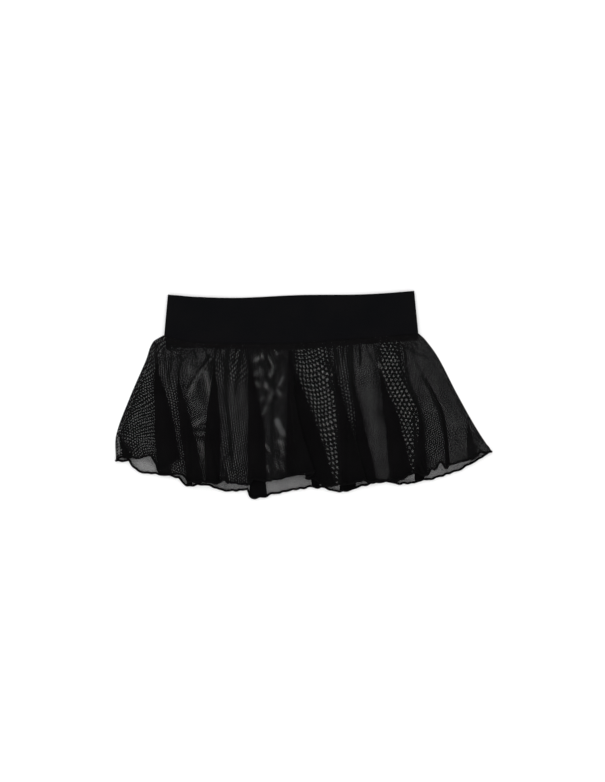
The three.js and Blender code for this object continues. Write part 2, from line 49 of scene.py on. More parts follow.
studio = {
    "cameraHeight": 2.004, "lens": 67.6, "sensor": 36.0, "lookX": -1.36, "lookY": 4.09,
    "floorSize": 14.0, "floorDrop": 0.0004, "floorColour": (0.9, 0.9, 0.9, 1),
    "skyColour": (1.0, 1.0, 1.0, 1), "skyStrength": 1.1,
    "lampSize": 2.6, "lampPower": 12.0, "lampPlace": (-0.5, 0.7, 2.4), "lampTilt": (-16, -12, 0),
}

# The skirt is drawn in its own millimetres and shifted to where the solids lie
drawnCorner = (-190.0, 140.5)  # left and top edge of the waistband in the drawing
waistLow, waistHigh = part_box("waistband")
shiftX = waistLow[0] / mm - drawnCorner[0]
shiftY = waistHigh[1] / mm - drawnCorner[1]


def makeStage():
    scene = bpy.context.scene
    scene.view_settings.view_transform = "Standard"
    data = bpy.data.cameras.new("camera")
    data.lens, data.sensor_width = studio["lens"], studio["sensor"]
    camera = bpy.data.objects.new("camera", data)
    lookX, lookY = (studio["lookX"] + shiftX) * mm, (studio["lookY"] + shiftY) * mm
    camera.location = (lookX, lookY, studio["cameraHeight"])
    scene.collection.objects.link(camera)
    scene.camera = camera
    half, z = studio["floorSize"] / 2, -studio["floorDrop"]
    mesh = bpy.data.meshes.new("floor")
    corners = [(-half, -half, z), (half, -half, z), (half, half, z), (-half, half, z)]
    mesh.from_pydata(corners, [], [(0, 1, 2, 3)])
    floor = bpy.data.objects.new("floor", mesh)
    scene.collection.objects.link(floor)
    paper = bpy.data.materials.new("paperFloor")
    paper.use_nodes = True
    shader = paper.node_tree.nodes["Principled BSDF"]
    shader.inputs["Base Color"].default_value = studio["floorColour"]
    shader.inputs["Roughness"].default_value = 1.0
    shader.inputs["Specular IOR Level"].default_value = 0.0
    mesh.materials.append(paper)
    world = bpy.data.worlds.new("studio")
    world.use_nodes = True
    sky = world.node_tree.nodes["Background"]
    sky.inputs["Color"].default_value = studio["skyColour"]
    sky.inputs["Strength"].default_value = studio["skyStrength"]
    scene.world = world
    light = bpy.data.lights.new("softbox", "AREA")
    light.size, light.energy = studio["lampSize"], studio["lampPower"]
    lamp = bpy.data.objects.new("softbox", light)
    lamp.location = studio["lampPlace"]
    lamp.rotation_euler = [math.radians(angle) for angle in studio["lampTilt"]]
    scene.collection.objects.link(lamp)


makeStage()
print("stage made")

# Shapes of the cloth, in millimetres, from the waist seam (v = 0) to the hem (v = 1)

cloth = {
    "waistTuck": 0.3, "clothWall": 1.2, "backNet": 0.6, "frontNet": 3.7, "frontWaist": 4.7,
    "length": 195, "middle": 0.6, "toeFrom": 0.9,
    "rowStep": 1.5, "leastRows": 8, "columnStep": 1.1, "topColumns": 16, "leastGodet": 12, "leastGore": 14,
    "foldStep": 0.03, "foldArc": 8,
}
# Gathers below the waist and ruffles above the hem: how many, how high, from which to which station
waves = {
    "gathers": 27, "gatherRise": 1.5, "gatherIn": (0, 0.06), "gatherOut": (0.1, 0.36), "gatherPhase": 0.4,
    "ruffles": 33, "ruffleRise": 4.0, "ruffleIn": (0.76, 1), "rufflePhase": 1.7,
    "waistDown": (0.07, 0.25), "frontEdge": 0.05, "backEdge": 0.06,
    "backRidges": 9, "ridgeRise": 0.8, "ridgeIn": (0.14, 0.3), "ridgeOut": (0.7, 0.8), "ridgePhase": 2.2,
    "ridgeSill": 0.35, "backHemRise": 0.4, "backHemIn": (0.85, 1), "backHemPhase": 0.6,
    "drift": 0.9, "driftTurns": 3.3, "swell": 0.35, "swellTurns": 5.7, "calmReach": 1.3, "calmRamp": 10,
}
# How a lap turns back under the cloth, and how far it keeps from the next seam
turning = {
    "radius": 1.15, "startWidth": 1.0, "ramp": 8.0, "turns": 6, "step": 1.2,
    "closeOver": 0.2, "widenAfter": 0.1, "first": 0.06, "margin": 1.5, "marginShare": 0.1, "leastRoom": 0.25,
}
band = {
    "leftTop": -185, "rightTop": 151, "leftBottom": -190, "rightBottom": 156.5, "backPeek": 2,
    "top": [(0, 135.5), (0.13, 132), (0.3, 130), (0.54, 133), (0.78, 135), (1, 140.5)],
    "bottom": [(0, 79.5), (0.1, 72), (0.45, 69), (0.7, 74.5), (1, 82)],
    "wall": 1.5, "frontTop": 2.7, "frontBottom": 4.7, "back": 0.8, "turn": 8,
    "tall": 60, "wide": 346, "columnStep": 1.5, "rowStep": 2.0, "cut": (0.69, 0.06),
}
sides = {
    "leftFold": [(0, -192), (0.05, -205.5), (0.2, -215.5), (0.5, -237.5), (0.8, -256), (1, -256.5)],
    "rightFold": [(0, 158), (0.05, 166.5), (0.2, 184), (0.5, 209), (0.8, 236), (1, 257)],
    "leftTip": -90, "rightTip": -78.5,
}
pleatLeft = {"from": 0.56, "width": 8, "hem": -137.5}
pleatRight = {"from": 0.56, "width": 8, "hem": -132.5}
sixthLap = {"from": 0.5, "width": 18, "hem": 84.5}
fourthLap = {
    "from": 0.22, "width": 10, "over": "left", "middle": -7, "hem": 14, "hemTop": -105.5, "hemUnder": -113.5,
}
flapLap = {
    "from": 0.75, "width": 9, "over": "right", "middle": -104, "hem": -112, "hemTop": -116, "hemUnder": -119,
}
patchLap = {
    "from": 0.6, "width": 10, "over": "left", "middle": 214, "hem": 236, "hemTop": -84, "hemUnder": -84,
}
foot = {"width": 15, "hem": -180}
pressedFlat = [pleatLeft, pleatRight, sixthLap, fourthLap, flapLap, patchLap, foot]


# A godet's place across at the waist, its apex, its two seams halfway down, and the two ends of its hem
def godetRow(waist, apexAt, apex, middles, leftHem, leftY, rightHem, rightY, **more):
    row = {"waist": waist, "apexAt": apexAt, "apex": apex}
    row.update(leftHem=leftHem, leftY=leftY, rightHem=rightHem, rightY=rightY)
    if middles:
        row["leftMiddle"], row["rightMiddle"] = middles
    row.update(more)
    return row


frontGodets = [
    godetRow(-185, 0.8, -249, None, -246.5, -84.5, -231.5, -87, meet=0.5),
    godetRow(-176, 0.14, -199, (-202.5, -177.5), -198.5, -106, -166, -106.8, toe=-197.4),
    godetRow(-160, 0.22, -170.5, (-169, -152), -158.5, -117, -137.5, -118.5, rightLap=pleatLeft),
    godetRow(-122, 0.14, -121.5, (-133, -113), -132.5, -118.5, -114.5, -120, leftLap=pleatRight),
    godetRow(-77, 0.06, -75.5, (-75.5, -54.5), -75.5, -124, -50, -116),
    godetRow(-21, 0.06, -20.5, (-23, 19.5), -23.5, -112.5, 43.5, -124, lap=fourthLap),
    godetRow(36, 0.14, 39.5, (49, 64), 51.5, -122, 84.5, -118.5, rightLap=sixthLap),
    godetRow(62, 0.22, 64.5, (70.5, 82.5), 73, -117.5, 100, -119),
    godetRow(100, 0.22, 103, (111, 129.5), 122, -117, 148, -107.5),
    godetRow(124, 0.32, 141, (156.5, 161.5), 152.5, -106, 169, -110.5),
    godetRow(138, 0.32, 166, (187, 190.5), 194.5, -96, 200, -96.5, meet=3.0),
]
backGodets = [
    godetRow(-174, 0.14, -197.5, None, -194, -109, -179, -111.5),
    godetRow(-158, 0.22, -169, None, -159, -123.5, -151.5, -123.5),
    godetRow(-77, 0.14, -74, None, -73.5, -139, -49.5, -139.5),
    godetRow(-19.5, 0.06, -18.5, None, 11.5, -126, 22.5, -126),
    godetRow(39, 0.22, 41.5, None, 49.7, -131.3, 72.2, -127.2),
    godetRow(101.5, 0.22, 105.5, None, 117.8, -117.8, 127.5, -121.5),
    godetRow(131, 0.44, 147, None, 152, -119, 165, -116),
]
# The lettuce hem of the front and of the back, left to right
frontHem = [
    (-255.4, -89.9), (-251.3, -84.9), (-246.4, -84.7), (-239, -86.4), (-230.9, -87), (-221.3, -86.8),
    (-213.2, -82.1), (-207.7, -82.1), (-204.2, -86.8), (-201.6, -91.3), (-199.5, -96.2), (-198.4, -103.5),
    (-196.1, -108.7), (-179.1, -108.7), (-161.9, -108.3), (-158.7, -117.1), (-146.4, -118.5),
    (-131.8, -119), (-123.3, -119.9), (-114.7, -119.9), (-106.9, -117.1), (-102.3, -120.9), (-96, -123),
    (-89.2, -123.8), (-82.4, -124.2), (-75.6, -123.8), (-69.7, -117.1), (-64, -115.2), (-55.2, -116.9),
    (-44.9, -117.7), (-36.1, -114.7), (-25.7, -112.4), (-18.4, -113.7), (-11, -116.6), (-0.7, -115.2),
    (12.9, -113.3), (21.1, -119.4), (27, -123.4), (35, -124.6), (45, -124.2), (51.1, -122),
    (58.8, -121.9), (67.4, -119.4), (75, -117.2), (81.7, -117), (85.1, -119), (91.9, -119.9),
    (100.1, -118.8), (109.6, -116.6), (117.8, -115.8), (121.8, -117.1), (127.3, -116.9), (134.2, -115.2),
    (141.6, -110.9), (149, -107.5), (157.3, -106.2), (164.1, -109.5), (169.6, -111.3), (172, -102.8),
    (176.4, -101.1), (179.1, -101.6), (181.8, -96), (184, -92.3), (188.6, -91.8), (192, -97.4),
    (194.6, -101.6), (197.6, -96.7), (202.9, -96.2), (208.2, -96.7), (213.2, -94.7), (218.1, -90.8),
    (226.2, -88.3), (234.5, -85.8), (238.2, -81.7), (241.3, -78.5), (248.6, -77.9), (255.9, -78.7),
]
backHem = [
    (-255.4, -89.9), (-248.6, -91.7), (-243.1, -90.7), (-237.7, -89.9), (-232.9, -97.4), (-226, -103.2),
    (-216.7, -106.2), (-207.7, -107.6), (-198.7, -107.9), (-184.6, -110.3), (-169.6, -112.6),
    (-164.1, -119.2), (-158.7, -123.9), (-145.1, -123.4), (-130.1, -122.4), (-121.9, -126.7),
    (-112.8, -129.4), (-100.1, -130.5), (-87, -131), (-75.6, -129.4), (-72.6, -140.3), (-62, -140.3),
    (-51.6, -139.6), (-47, -134.8), (-40.2, -134.6), (-32.6, -134.3), (-22.5, -132.1), (-12.9, -129.4),
    (-3.4, -127.2), (6.1, -126.3), (15.7, -125.8), (25.2, -126), (34.1, -129.4), (42.5, -131.4),
    (52.4, -131.2), (63.6, -129.5), (72.2, -127.2), (80.8, -123.8), (89.9, -121.2), (99.8, -119.9),
    (109, -117.9), (117.8, -117.8), (125.6, -120.9), (133.3, -122.4), (141, -121.2), (147.8, -119.9),
    (158.7, -117.7), (169.6, -115.2), (179.1, -113.3), (188.6, -111.3), (196.8, -108.7), (204.4, -105.4),
    (213.2, -101.6), (221.3, -97.7), (229.5, -93.2), (237.7, -88), (245.8, -83.6), (254, -79),
]
# Ridges of the front: start and end station, place across at each, rise and half width
ridges = [
    (0.08, 0.4, -127, -158, 2.4, 7), (0.02, 0.8, -103, -101, 2.6, 8), (0.15, 1, -43, -43, 2.2, 8),
    (0.02, 0.25, 48, 49, 2, 6), (0.02, 0.25, 85, 97, 2, 7), (0, 0.8, 128, 160, 2.6, 8),
    (0.05, 0.5, -186, -222, 2, 8), (0.2, 0.9, 8, 46, 1.8, 9), (0.3, 0.95, 196, 226, 1.8, 10),
]


def through(rows, at):
    places = np.array([row[0] for row in rows], float)
    values = np.array([row[1] for row in rows], float)
    last = len(places) - 1
    at = np.clip(at, places[0], places[-1])
    i = np.clip(np.searchsorted(places, at, side="left") - 1, 0, last - 1)
    before, after = np.maximum(np.arange(last + 1) - 1, 0), np.minimum(np.arange(last + 1) + 1, last)
    slopes = (values[after] - values[before]) / (places[after] - places[before])
    span = places[i + 1] - places[i]
    t = (at - places[i]) / span
    ease = t * t * (3 - 2 * t)
    bend = t * (1 - t) * span * ((1 - t) * slopes[i] - t * slopes[i + 1])
    return values[i] * (1 - ease) + values[i + 1] * ease + bend


def straight(rows, at):
    return np.interp(at, [row[0] for row in rows], [row[1] for row in rows])


def smoothstep(x, low, high):
    t = np.clip((x - low) / (high - low), 0, 1)
    return t * t * (3 - 2 * t)


def lerp(a, b, t):
    return a + (b - a) * t


def waistHeight(x):
    return through(band["bottom"], (x - band["leftBottom"]) / (band["rightBottom"] - band["leftBottom"]))


def shareAcross(x, v):
    left, right = through(sides["leftFold"], v), through(sides["rightFold"], v)
    return (x - left) / (right - left)


def unevenWave(share, count, phase):
    turn, swell = 2 * math.pi, waves["swell"]
    late = waves["drift"] * np.sin(turn * waves["driftTurns"] * share + phase)
    crest = 0.5 + 0.5 * np.sin(turn * count * share + late + phase)
    return crest * (1 - swell + swell * np.sin(turn * waves["swellTurns"] * share + 2 * phase))


def ridgeRise(x, v):
    rise = np.zeros_like(x + v)
    for start, end, xStart, xEnd, high, half in ridges:
        along = np.clip((v - start) / (end - start), 0, 1)
        away = (x - lerp(xStart, xEnd, along)) / half
        rise = rise + high * np.sin(math.pi * np.sqrt(along)) * np.exp(-away * away)
    return rise


def calm(x):
    left = np.ones_like(x)
    for lap in pressedFlat:
        half = waves["calmReach"] * lap["width"]
        left = left * smoothstep(np.abs(x - lap["hem"]), half, half + waves["calmRamp"])
    return left


def frontHeight(x, v):
    share, edge = shareAcross(x, v), waves["frontEdge"]
    inside = smoothstep(share, 0, edge) * smoothstep(1 - share, 0, edge)
    plain = lerp(cloth["frontWaist"], cloth["frontNet"], smoothstep(v, *waves["waistDown"]))
    window = smoothstep(v, *waves["gatherIn"]) * (1 - smoothstep(v, *waves["gatherOut"]))
    gathered = waves["gatherRise"] * window
    gathered = gathered * unevenWave(share, waves["gathers"], waves["gatherPhase"])
    ruffled = waves["ruffleRise"] * smoothstep(v, *waves["ruffleIn"]) * calm(x)
    ruffled = ruffled * unevenWave(share, waves["ruffles"], waves["rufflePhase"])
    return plain + inside * (gathered + ruffled + ridgeRise(x, v))


def backHeight(x, v):
    share, edge, sill = shareAcross(x, v), waves["backEdge"], waves["ridgeSill"]
    inside = smoothstep(share, 0, edge) * smoothstep(1 - share, 0, edge)
    crest = np.maximum(0, unevenWave(share, waves["backRidges"], waves["ridgePhase"]) - sill) / (1 - sill)
    window = smoothstep(v, *waves["ridgeIn"]) * (1 - smoothstep(v, *waves["ridgeOut"]))
    hem = waves["backHemRise"] * smoothstep(v, *waves["backHemIn"])
    hem = hem * unevenWave(share, waves["ruffles"], waves["backHemPhase"])
    return cloth["backNet"] + inside * (waves["ridgeRise"] * crest * window + hem)


def seamOf(row, side):
    top = [(0, row["waist"]), (row["apexAt"], row["apex"])]
    opened, closed = list(top), list(top)
    if "leftMiddle" in row:
        opened.append((cloth["middle"], row[side + "Middle"]))
        closed.append((cloth["middle"], (row["leftMiddle"] + row["rightMiddle"]) / 2))
    opened.append((1, row[side + "Hem"]))
    closed.append((1, (row["leftHem"] + row["rightHem"]) / 2))
    hugsFold = row["apexAt"] > cloth["middle"]
    # The gore right of a closed seam reaches its neighbour although their hems differ
    meet = row.get("meet", 0) if side == "right" else 0

    def across(v):
        if hugsFold and v <= row["apexAt"]:
            fold = sides["leftFold"]
            return float(through(fold, v) + row["apex"] - through(fold, row["apexAt"])) - meet * v
        if v < row["apexAt"]:
            return float(through(closed, v)) - meet * v
        x = float(through(opened, v))
        if side == "left" or "toe" not in row or v <= cloth["toeFrom"]:
            return x
        return lerp(x, row["toe"], (v - cloth["toeFrom"]) / (1 - cloth["toeFrom"]))

    return {"waist": row["waist"], "hemY": row[side + "Y"], "lap": row.get(side + "Lap"), "x": across}


# A lap's section: steps across and down from the fold's start, its height, and how far it reaches back
def lapShape(lap, v):
    closing = float(smoothstep(v, lap["from"], lap["from"] + turning["closeOver"]))
    widening = float(smoothstep(v, lap["from"] + turning["widenAfter"], 1))
    width = lerp(turning["startWidth"], lap["width"], widening)
    turns = turning["turns"]
    chord = 2 * turning["radius"] * math.sin(math.pi / (2 * turns))
    arc = [(chord, (k + 0.5) * 180 / turns) for k in range(turns)]
    spans = math.ceil(lap["width"] / turning["step"])
    run = arc + [(width / spans, 180)] * spans + arc[::-1]
    steps = [(0.0, 0.0)]
    for length, turned in run:
        heading = math.radians(turned) * closing
        steps.append((steps[-1][0] + length * math.cos(heading), steps[-1][1] + length * math.sin(heading)))
    height = steps[-1][1]
    reach = max(0, -min(step[0] for step in steps)) + cloth["clothWall"]
    return steps, height, reach


def liftOver(height, reach, away):
    return height * (1 - smoothstep(away, reach, reach + turning["ramp"]))


# Where a lap's fold lies across at a station, clear of the panel's other seam
def foldAt(seam, lap, facing, v, room, steps):
    first, least = turning["first"], turning["leastRoom"] * room
    middle = (cloth["middle"] - first) / (1 - first)
    line = [(0, seam["x"](first)), (middle, lap["middle"]), (1, lap["hem"])]
    wanted = float(through(line, (v - first) / (1 - first)))
    margin = min(turning["margin"], turning["marginShare"] * room)
    most = max(room - max(step[0] for step in steps) - margin, least)
    start = seam["x"](v)
    return start + facing * float(np.clip(facing * (wanted - start), least, most))


# One end of a panel's section at a station: place across, height over the panel, hem place if a lap sets it
def sectionEnd(panel, seam, facing, v, room):
    start = seam["x"](v)
    lap = panel.get("lap")
    mine = lap if lap and lap["over"] == ("left" if facing > 0 else "right") else None
    edgeLap = seam["lap"] if panel.get("tucked") and seam["lap"] else None
    if not mine and not edgeLap:
        return [(start, 0.0, None)]
    steps, height, reach = lapShape(mine or edgeLap, v)
    points, fold = [], start
    if mine:
        fold = foldAt(seam, mine, facing, v, room, steps)
        count = cloth["topColumns"]
        for i in range(count):
            x = lerp(start, fold, i / count)
            lift = float(liftOver(height, reach, abs(fold - x)))
            points.append((x, lift, lerp(seam["hemY"], mine["hemTop"], i / count)))
    turns = turning["turns"]
    for i, (across, down) in enumerate(steps):
        back = min(max((i - turns) / (len(steps) - 1 - 2 * turns), 0), 1)
        y = lerp(mine["hemTop"], mine["hemUnder"], back) if mine else None
        points.append((fold + facing * across, height - down, y))
    return points


def frontColumns(panel, v):
    left, right = panel["left"], panel["right"]
    room = right["x"](v) - left["x"](v)
    head = sectionEnd(panel, left, 1, v, room)
    tail = sectionEnd(panel, right, -1, v, room)[::-1]
    count = panel["columns"]
    inner = [(lerp(head[-1][0], tail[0][0], i / count), 0.0, None) for i in range(1, count)]
    points = head + inner + tail
    xs = np.array([point[0] for point in points])
    levels = np.array([point[1] for point in points])
    for seam, end in ((left, xs[0]), (right, xs[-1])):
        if seam["lap"] and not panel.get("tucked"):
            steps, height, reach = lapShape(seam["lap"], v)
            levels = levels + liftOver(height, reach, np.abs(xs - end))
    return xs, levels, [point[2] for point in points]


def rowsFrom(apexAt):
    count = max(cloth["leastRows"], round((1 - apexAt) * cloth["length"] / cloth["rowStep"]))
    return np.linspace(apexAt, 1, count + 1)


# The grid of a front panel: places, and how far each column lies from the panel's middle line
def frontGrid(panel, firstStation):
    vs = rowsFrom(firstStation)
    columns = [frontColumns(panel, v) for v in vs]
    atWaist, atHem = frontColumns(panel, 0), frontColumns(panel, 1)
    x = np.array([column[0] for column in columns])
    level = np.array([column[1] for column in columns])
    v = vs[:, None] + 0 * x
    own = np.array([np.nan if y is None else y for y in atHem[2]])
    hemY = np.where(np.isnan(own), straight(frontHem, atHem[0]), own)
    y = lerp(waistHeight(atWaist[0]) + cloth["waistTuck"], hemY, v) + lettuceAt(x, v, 0)
    z = frontHeight(x, v) + level
    middleX = (np.array([panel["left"]["x"](s) + panel["right"]["x"](s) for s in vs]) / 2)[:, None]
    return {"x": x, "y": y, "z": z, "v": v, "u": x - middleX}


def backGrid(panel, firstStation):
    vs = rowsFrom(firstStation)
    share = np.linspace(0, 1, panel["columns"] + 1)
    left = np.array([panel["left"]["x"](s) for s in vs])[:, None]
    right = np.array([panel["right"]["x"](s) for s in vs])[:, None]
    x = lerp(left, right, share)
    v = vs[:, None] + 0 * x
    waistX = lerp(panel["left"]["waist"], panel["right"]["waist"], share)
    y = lerp(waistHeight(waistX) + cloth["waistTuck"], straight(backHem, x[-1]), v) + lettuceAt(x, v, 1)
    return {"x": x, "y": y, "z": backHeight(x, v), "v": v, "u": x - (left + right) / 2}


# The grid of a side panel: from its front seam round the fold to its back seam
def sideGrid(side):
    vs = rowsFrom(0)
    out, arc = side["out"], cloth["foldArc"]
    fold = sides["rightFold"] if out > 0 else sides["leftFold"]
    tip = sides["rightTip"] if out > 0 else sides["leftTip"]
    rows = []
    for v in vs:
        edge = float(through(fold, v)) - out * cloth["clothWall"] / 2
        low = float(backHeight(np.array(edge), v))
        radius = (float(frontHeight(np.array(edge), v)) - low) / 2
        ahead = float(through(fold, v + cloth["foldStep"]) - through(fold, v))
        slope = ahead / (cloth["foldStep"] * (waistHeight(edge) - tip))
        turn = radius * math.hypot(1, slope)
        centre = edge - out * turn
        start, end = side["front"]["x"](v), side["back"]["x"](v)
        head = sectionEnd({"lap": side.get("lap")}, side["front"], 1, v, abs(centre - start))
        xs = [point[0] for point in head]
        zs = [point[1] + float(frontHeight(np.array(point[0]), v)) for point in head]
        ys = [point[2] for point in head]
        for i in range(1, side["frontColumns"]):
            xs.append(lerp(head[-1][0], centre, i / side["frontColumns"]))
            ys.append(None)
            zs.append(float(frontHeight(np.array(xs[-1]), v)))
        halfway = len(xs) + arc // 2
        for i in range(arc + 1):
            angle = math.pi * (0.5 - i / arc)
            xs.append(centre + out * turn * math.cos(angle))
            ys.append(tip)
            zs.append(low + radius + radius * math.sin(angle))
        for i in range(1, side["backColumns"] + 1):
            xs.append(lerp(centre, end, i / side["backColumns"]))
            ys.append(math.nan)
            zs.append(float(backHeight(np.array(xs[-1]), v)))
        rows.append((xs, ys, zs, centre))
    x, z = np.array([row[0] for row in rows]), np.array([row[2] for row in rows])
    hemX = x[-1]
    hemY = []
    for k, y in enumerate(rows[-1][1]):
        if y is None:
            hemY.append(float(straight(frontHem, hemX[k])))
        elif math.isnan(y):
            hemY.append(float(straight(backHem, hemX[k])))
        else:
            hemY.append(y)
    v = vs[:, None] + 0 * x
    onFront = np.arange(x.shape[1]) < halfway
    wavy = np.where(onFront, lettuceAt(x, v, 0), lettuceAt(x, v, 1))
    y = lerp(waistHeight(x[0]) + cloth["waistTuck"], np.array(hemY), v) + wavy
    centres = np.array([row[3] for row in rows])[:, None]
    return {"x": x, "y": y, "z": z, "v": v, "u": x - centres, "halfway": halfway}


# Small uneven shifts of the net, smooth over a few centimetres: a sum of waves at random angles
wander = {"waves": 5, "shortest": 0.6, "longest": 1.6, "height": 2.2}
seeds = {"side": 40, "back": 20, "down": 50, "uneven": 90, "patchy": 130}


def drift(x, y, seed, size, wave):
    draw = random.Random(seed)
    total = np.zeros_like(x)
    for _ in range(wander["waves"]):
        angle, phase = draw.uniform(0, 2 * math.pi), draw.uniform(0, 2 * math.pi)
        length = wave * draw.uniform(wander["shortest"], wander["longest"])
        total = total + np.sin(2 * math.pi * (x * math.cos(angle) + y * math.sin(angle)) / length + phase)
    return size * total / wander["height"]


# Creases of the net, where its yarn is drawn together: path down the front, half width and depth.
# A negative depth is where the cloth is stretched open.
creases = [
    ([(-127.6, 52.4), (-145.3, 28.6), (-158, 8.2)], 1.7, 1.0),
    ([(-123.8, 43.6), (-126.8, 19.6)], 1.3, 0.8),
    ([(-201.6, 65.4), (-182.6, 61.6), (-166.8, 59.5)], 1.3, 0.8),
    ([(-182.6, 27.6), (-178.7, 47.7), (-158.7, 57.6)], 1.4, 0.8),
    ([(-170.7, 27.6), (-166.8, 43.6), (-150.8, 59.5)], 1.4, 0.7),
    ([(-192, 66), (-189, 44), (-181, 12)], 1.6, 0.6),
    ([(-102.4, 64), (-104.6, 40), (-106.2, -8.2), (-101.5, -42.2), (-97.4, -89.9)], 1.9, 1.0),
    ([(-102.4, 64), (-105, 30), (-106.2, -8.2)], 4.5, 0.5),
    ([(-97.4, -89.9), (-97.5, -106)], 1.6, 0.8),
    ([(-82.9, 61.6), (-88.9, 35.7), (-92.9, 4)], 3.2, 0.6),
    ([(-99.6, -81), (-113.8, -96.1)], 1.4, 0.9),
    ([(-53, -4), (-35, 35.7), (-28.1, 51.8)], 1.5, 0.8),
    ([(-60, 44), (-48, 22), (-37, 3)], 1.4, 0.7),
    ([(-52, 55), (-44, 30), (-40, 4)], 1.6, 0.6),
    ([(-40, 4), (-43, -43.6), (-44, -112)], 1.7, 0.9),
    ([(34.3, 65.4), (36.2, 27.6), (38.3, 8.2)], 1.8, 0.9),
    ([(44.3, 59.9), (48.2, 43.6), (46.3, 23.7)], 1.5, 0.9),
    ([(64.1, 61.6), (65.2, 39.5), (68.2, -4)], 3.2, 0.7),
    ([(75.6, 65.4), (77, 39.5)], 1.4, 0.8),
    ([(85.1, 65.4), (96, 39.5)], 1.4, 0.7),
    ([(102.2, 65.4), (103.1, 43.6)], 1.7, 0.9),
    ([(128.7, 67.6), (132, 39.5), (135.9, 19.6), (151.9, -4), (161.9, -34), (165, -64)], 1.6, 1.0),
    ([(136.9, 61.6), (140, 35.7), (144, 11.7), (156, -14.3), (163.5, -38)], 1.5, 1.0),
    ([(132, 67.6), (141.9, 61.6), (167.9, 49.6)], 1.4, 0.8),
    ([(160.8, 26), (172, 5), (184, -22), (190, -52)], 1.5, 0.9),
    ([(172, 52), (186, 22), (203, -20)], 6, 0.18),
    ([(239, -58), (233, -72), (226, -84)], 7, 0.4),
    ([(60, 62), (64, 30), (72, -10), (84, -60)], 4, 0.3),
    ([(98, 30), (104, -40), (108, -100)], 4, 0.25),
    ([(84, 50), (92, -20), (100, -90)], 6, -0.1),
    ([(-222, 20), (-236, -22), (-246, -52)], 2.6, 0.3),
    ([(-253.5, -50), (-252, -62), (-252, -80)], 3.4, -0.9),
    ([(-257, -48), (-250, -58), (-244.4, -68), (-236, -76)], 1.8, 1.4),
    ([(-201, 68), (-200, 46)], 1.6, 0.9),
    ([(240, -66), (250, -77)], 3.0, -0.3),
    ([(-155.5, -2), (-151.5, 10), (-146.5, 22), (-140, 30), (-134, 29), (-130, 18), (-128, 4), (-128, -10)],
     3.2, -0.9),
    ([(-143, 14), (-139, -6)], 4.6, 0.3),
    ([(-158, 36), (-152, 28)], 3.0, -0.4),
    ([(-150, -14), (-134, -19)], 6, -0.32),
    ([(-132, -32), (-149, -41)], 3.4, -0.9),
    ([(-151, -49), (-133, -49)], 2.0, 0.5),
    ([(-149, -54.5), (-134, -54)], 2.2, -0.9),
    ([(-148, -60), (-134, -60)], 1.8, 0.5),
    ([(-144, -66), (-138, -72), (-137, -84)], 4.2, -0.8),
    ([(-62, 34), (-55, 12), (-50, -8)], 5, -0.2),
    ([(-65, 46.5), (-57.5, 51)], 3.9, -1.59),
    ([(-57, 33.4), (-66.5, 26)], 3.2, -0.87),
    ([(-64.5, 15), (-62.5, 11)], 2.8, -1.59),
    ([(-51.3, 12.7), (-47.7, 6.7)], 2.5, -1.59),
    ([(-43.5, 32), (-44.5, 25)], 2.6, -1.74),
    ([(-48.3, 50.4), (-40.4, 37)], 1.8, -1.45),
    ([(-38.6, 60), (-35.5, 55.3)], 2.5, -1.3),
    ([(-27.8, 23), (-32.5, 12.7)], 2.2, -1.59),
    ([(-34.9, 4.2), (-30.7, -1)], 2.2, -1.59),
    ([(-39.8, 5.5), (-45.9, -6.7)], 2.8, -1.3),
    ([(-59, -9), (-54.5, -4)], 2.3, -1.01),
    ([(-51.3, -17.6), (-55.6, -27.4)], 1.8, -1.3),
    ([(-36, -37), (-28, -54)], 4.1, -1.96),
    ([(-32.5, -65), (-29, -68)], 3.9, -1.74),
    ([(-29, -76), (-27, -81)], 2.8, -1.3),
    ([(-50.7, -69.9), (-44.7, -79.7)], 1.8, -1.16),
    ([(-49.5, -97), (-47, -107)], 2.1, -1.16),
    ([(-38.6, -93), (-34.9, -101)], 1.8, -1.16),
    ([(-31, -92), (-26.5, -103)], 1.8, -0.9),
    ([(-50, -24), (-52, -96)], 3.4, -0.35),
    ([(24, 42), (29, 0), (37, -52)], 6.5, -0.15),
    ([(-72, -20), (-72, -80)], 2.6, -0.2),
    ([(-96, 30), (-95, -40)], 4, -0.18),
]
# The same for the back
backCreases = [
    ([(-253.5, -50), (-252, -62), (-252, -80)], 4.0, -0.6),
    ([(-222, -97), (-206, -101)], 9, -0.34),
    ([(-100, -127), (-82, -128)], 9, 0.1),
]
# Short creases that the gathering makes below the waist seam: place across, length and lean
gatherCreases = [
    (-176, 26, -7), (-163, 20, -5), (-150, 16, 4), (-132.8, 30, 5), (-119, 24, -3), (-113.7, 18, 3),
    (-92, 22, -4), (-85.1, 26, -3), (-76.5, 12, 0), (-63, 18, 6), (-49, 22, -5), (-36, 15, 4),
    (-12, 20, 5), (3, 14, -3), (17, 22, 6), (27.9, 30, 3), (41.5, 26, 4), (55, 18, -2), (64.7, 24, 2),
    (75.6, 22, 3), (94.7, 26, 5), (112, 14, 4), (121, 18, 5), (145, 16, 6), (150, 12, 5),
]
gatherCrease = {"half": 1.2, "depth": 0.85, "below": 7}


def gatherLines():
    lines = []
    for place, length, lean in gatherCreases:
        top = float(waistHeight(place)) - gatherCrease["below"]
        path = [(place, top), (place + lean, top - length)]
        lines.append((path, gatherCrease["half"], gatherCrease["depth"]))
    return lines


def creaseAt(x, y, lines):
    found = np.zeros_like(x)
    for path, half, depth in lines:
        nearest = np.full_like(x, np.inf)
        for (ax, ay), (bx, by) in zip(path, path[1:]):
            length2 = (bx - ax) ** 2 + (by - ay) ** 2
            t = np.clip(((x - ax) * (bx - ax) + (y - ay) * (by - ay)) / length2, 0, 1)
            nearest = np.minimum(nearest, np.hypot(x - ax - t * (bx - ax), y - ay - t * (by - ay)))
        found = found + depth * np.exp(-(nearest / half) ** 2)
    return found


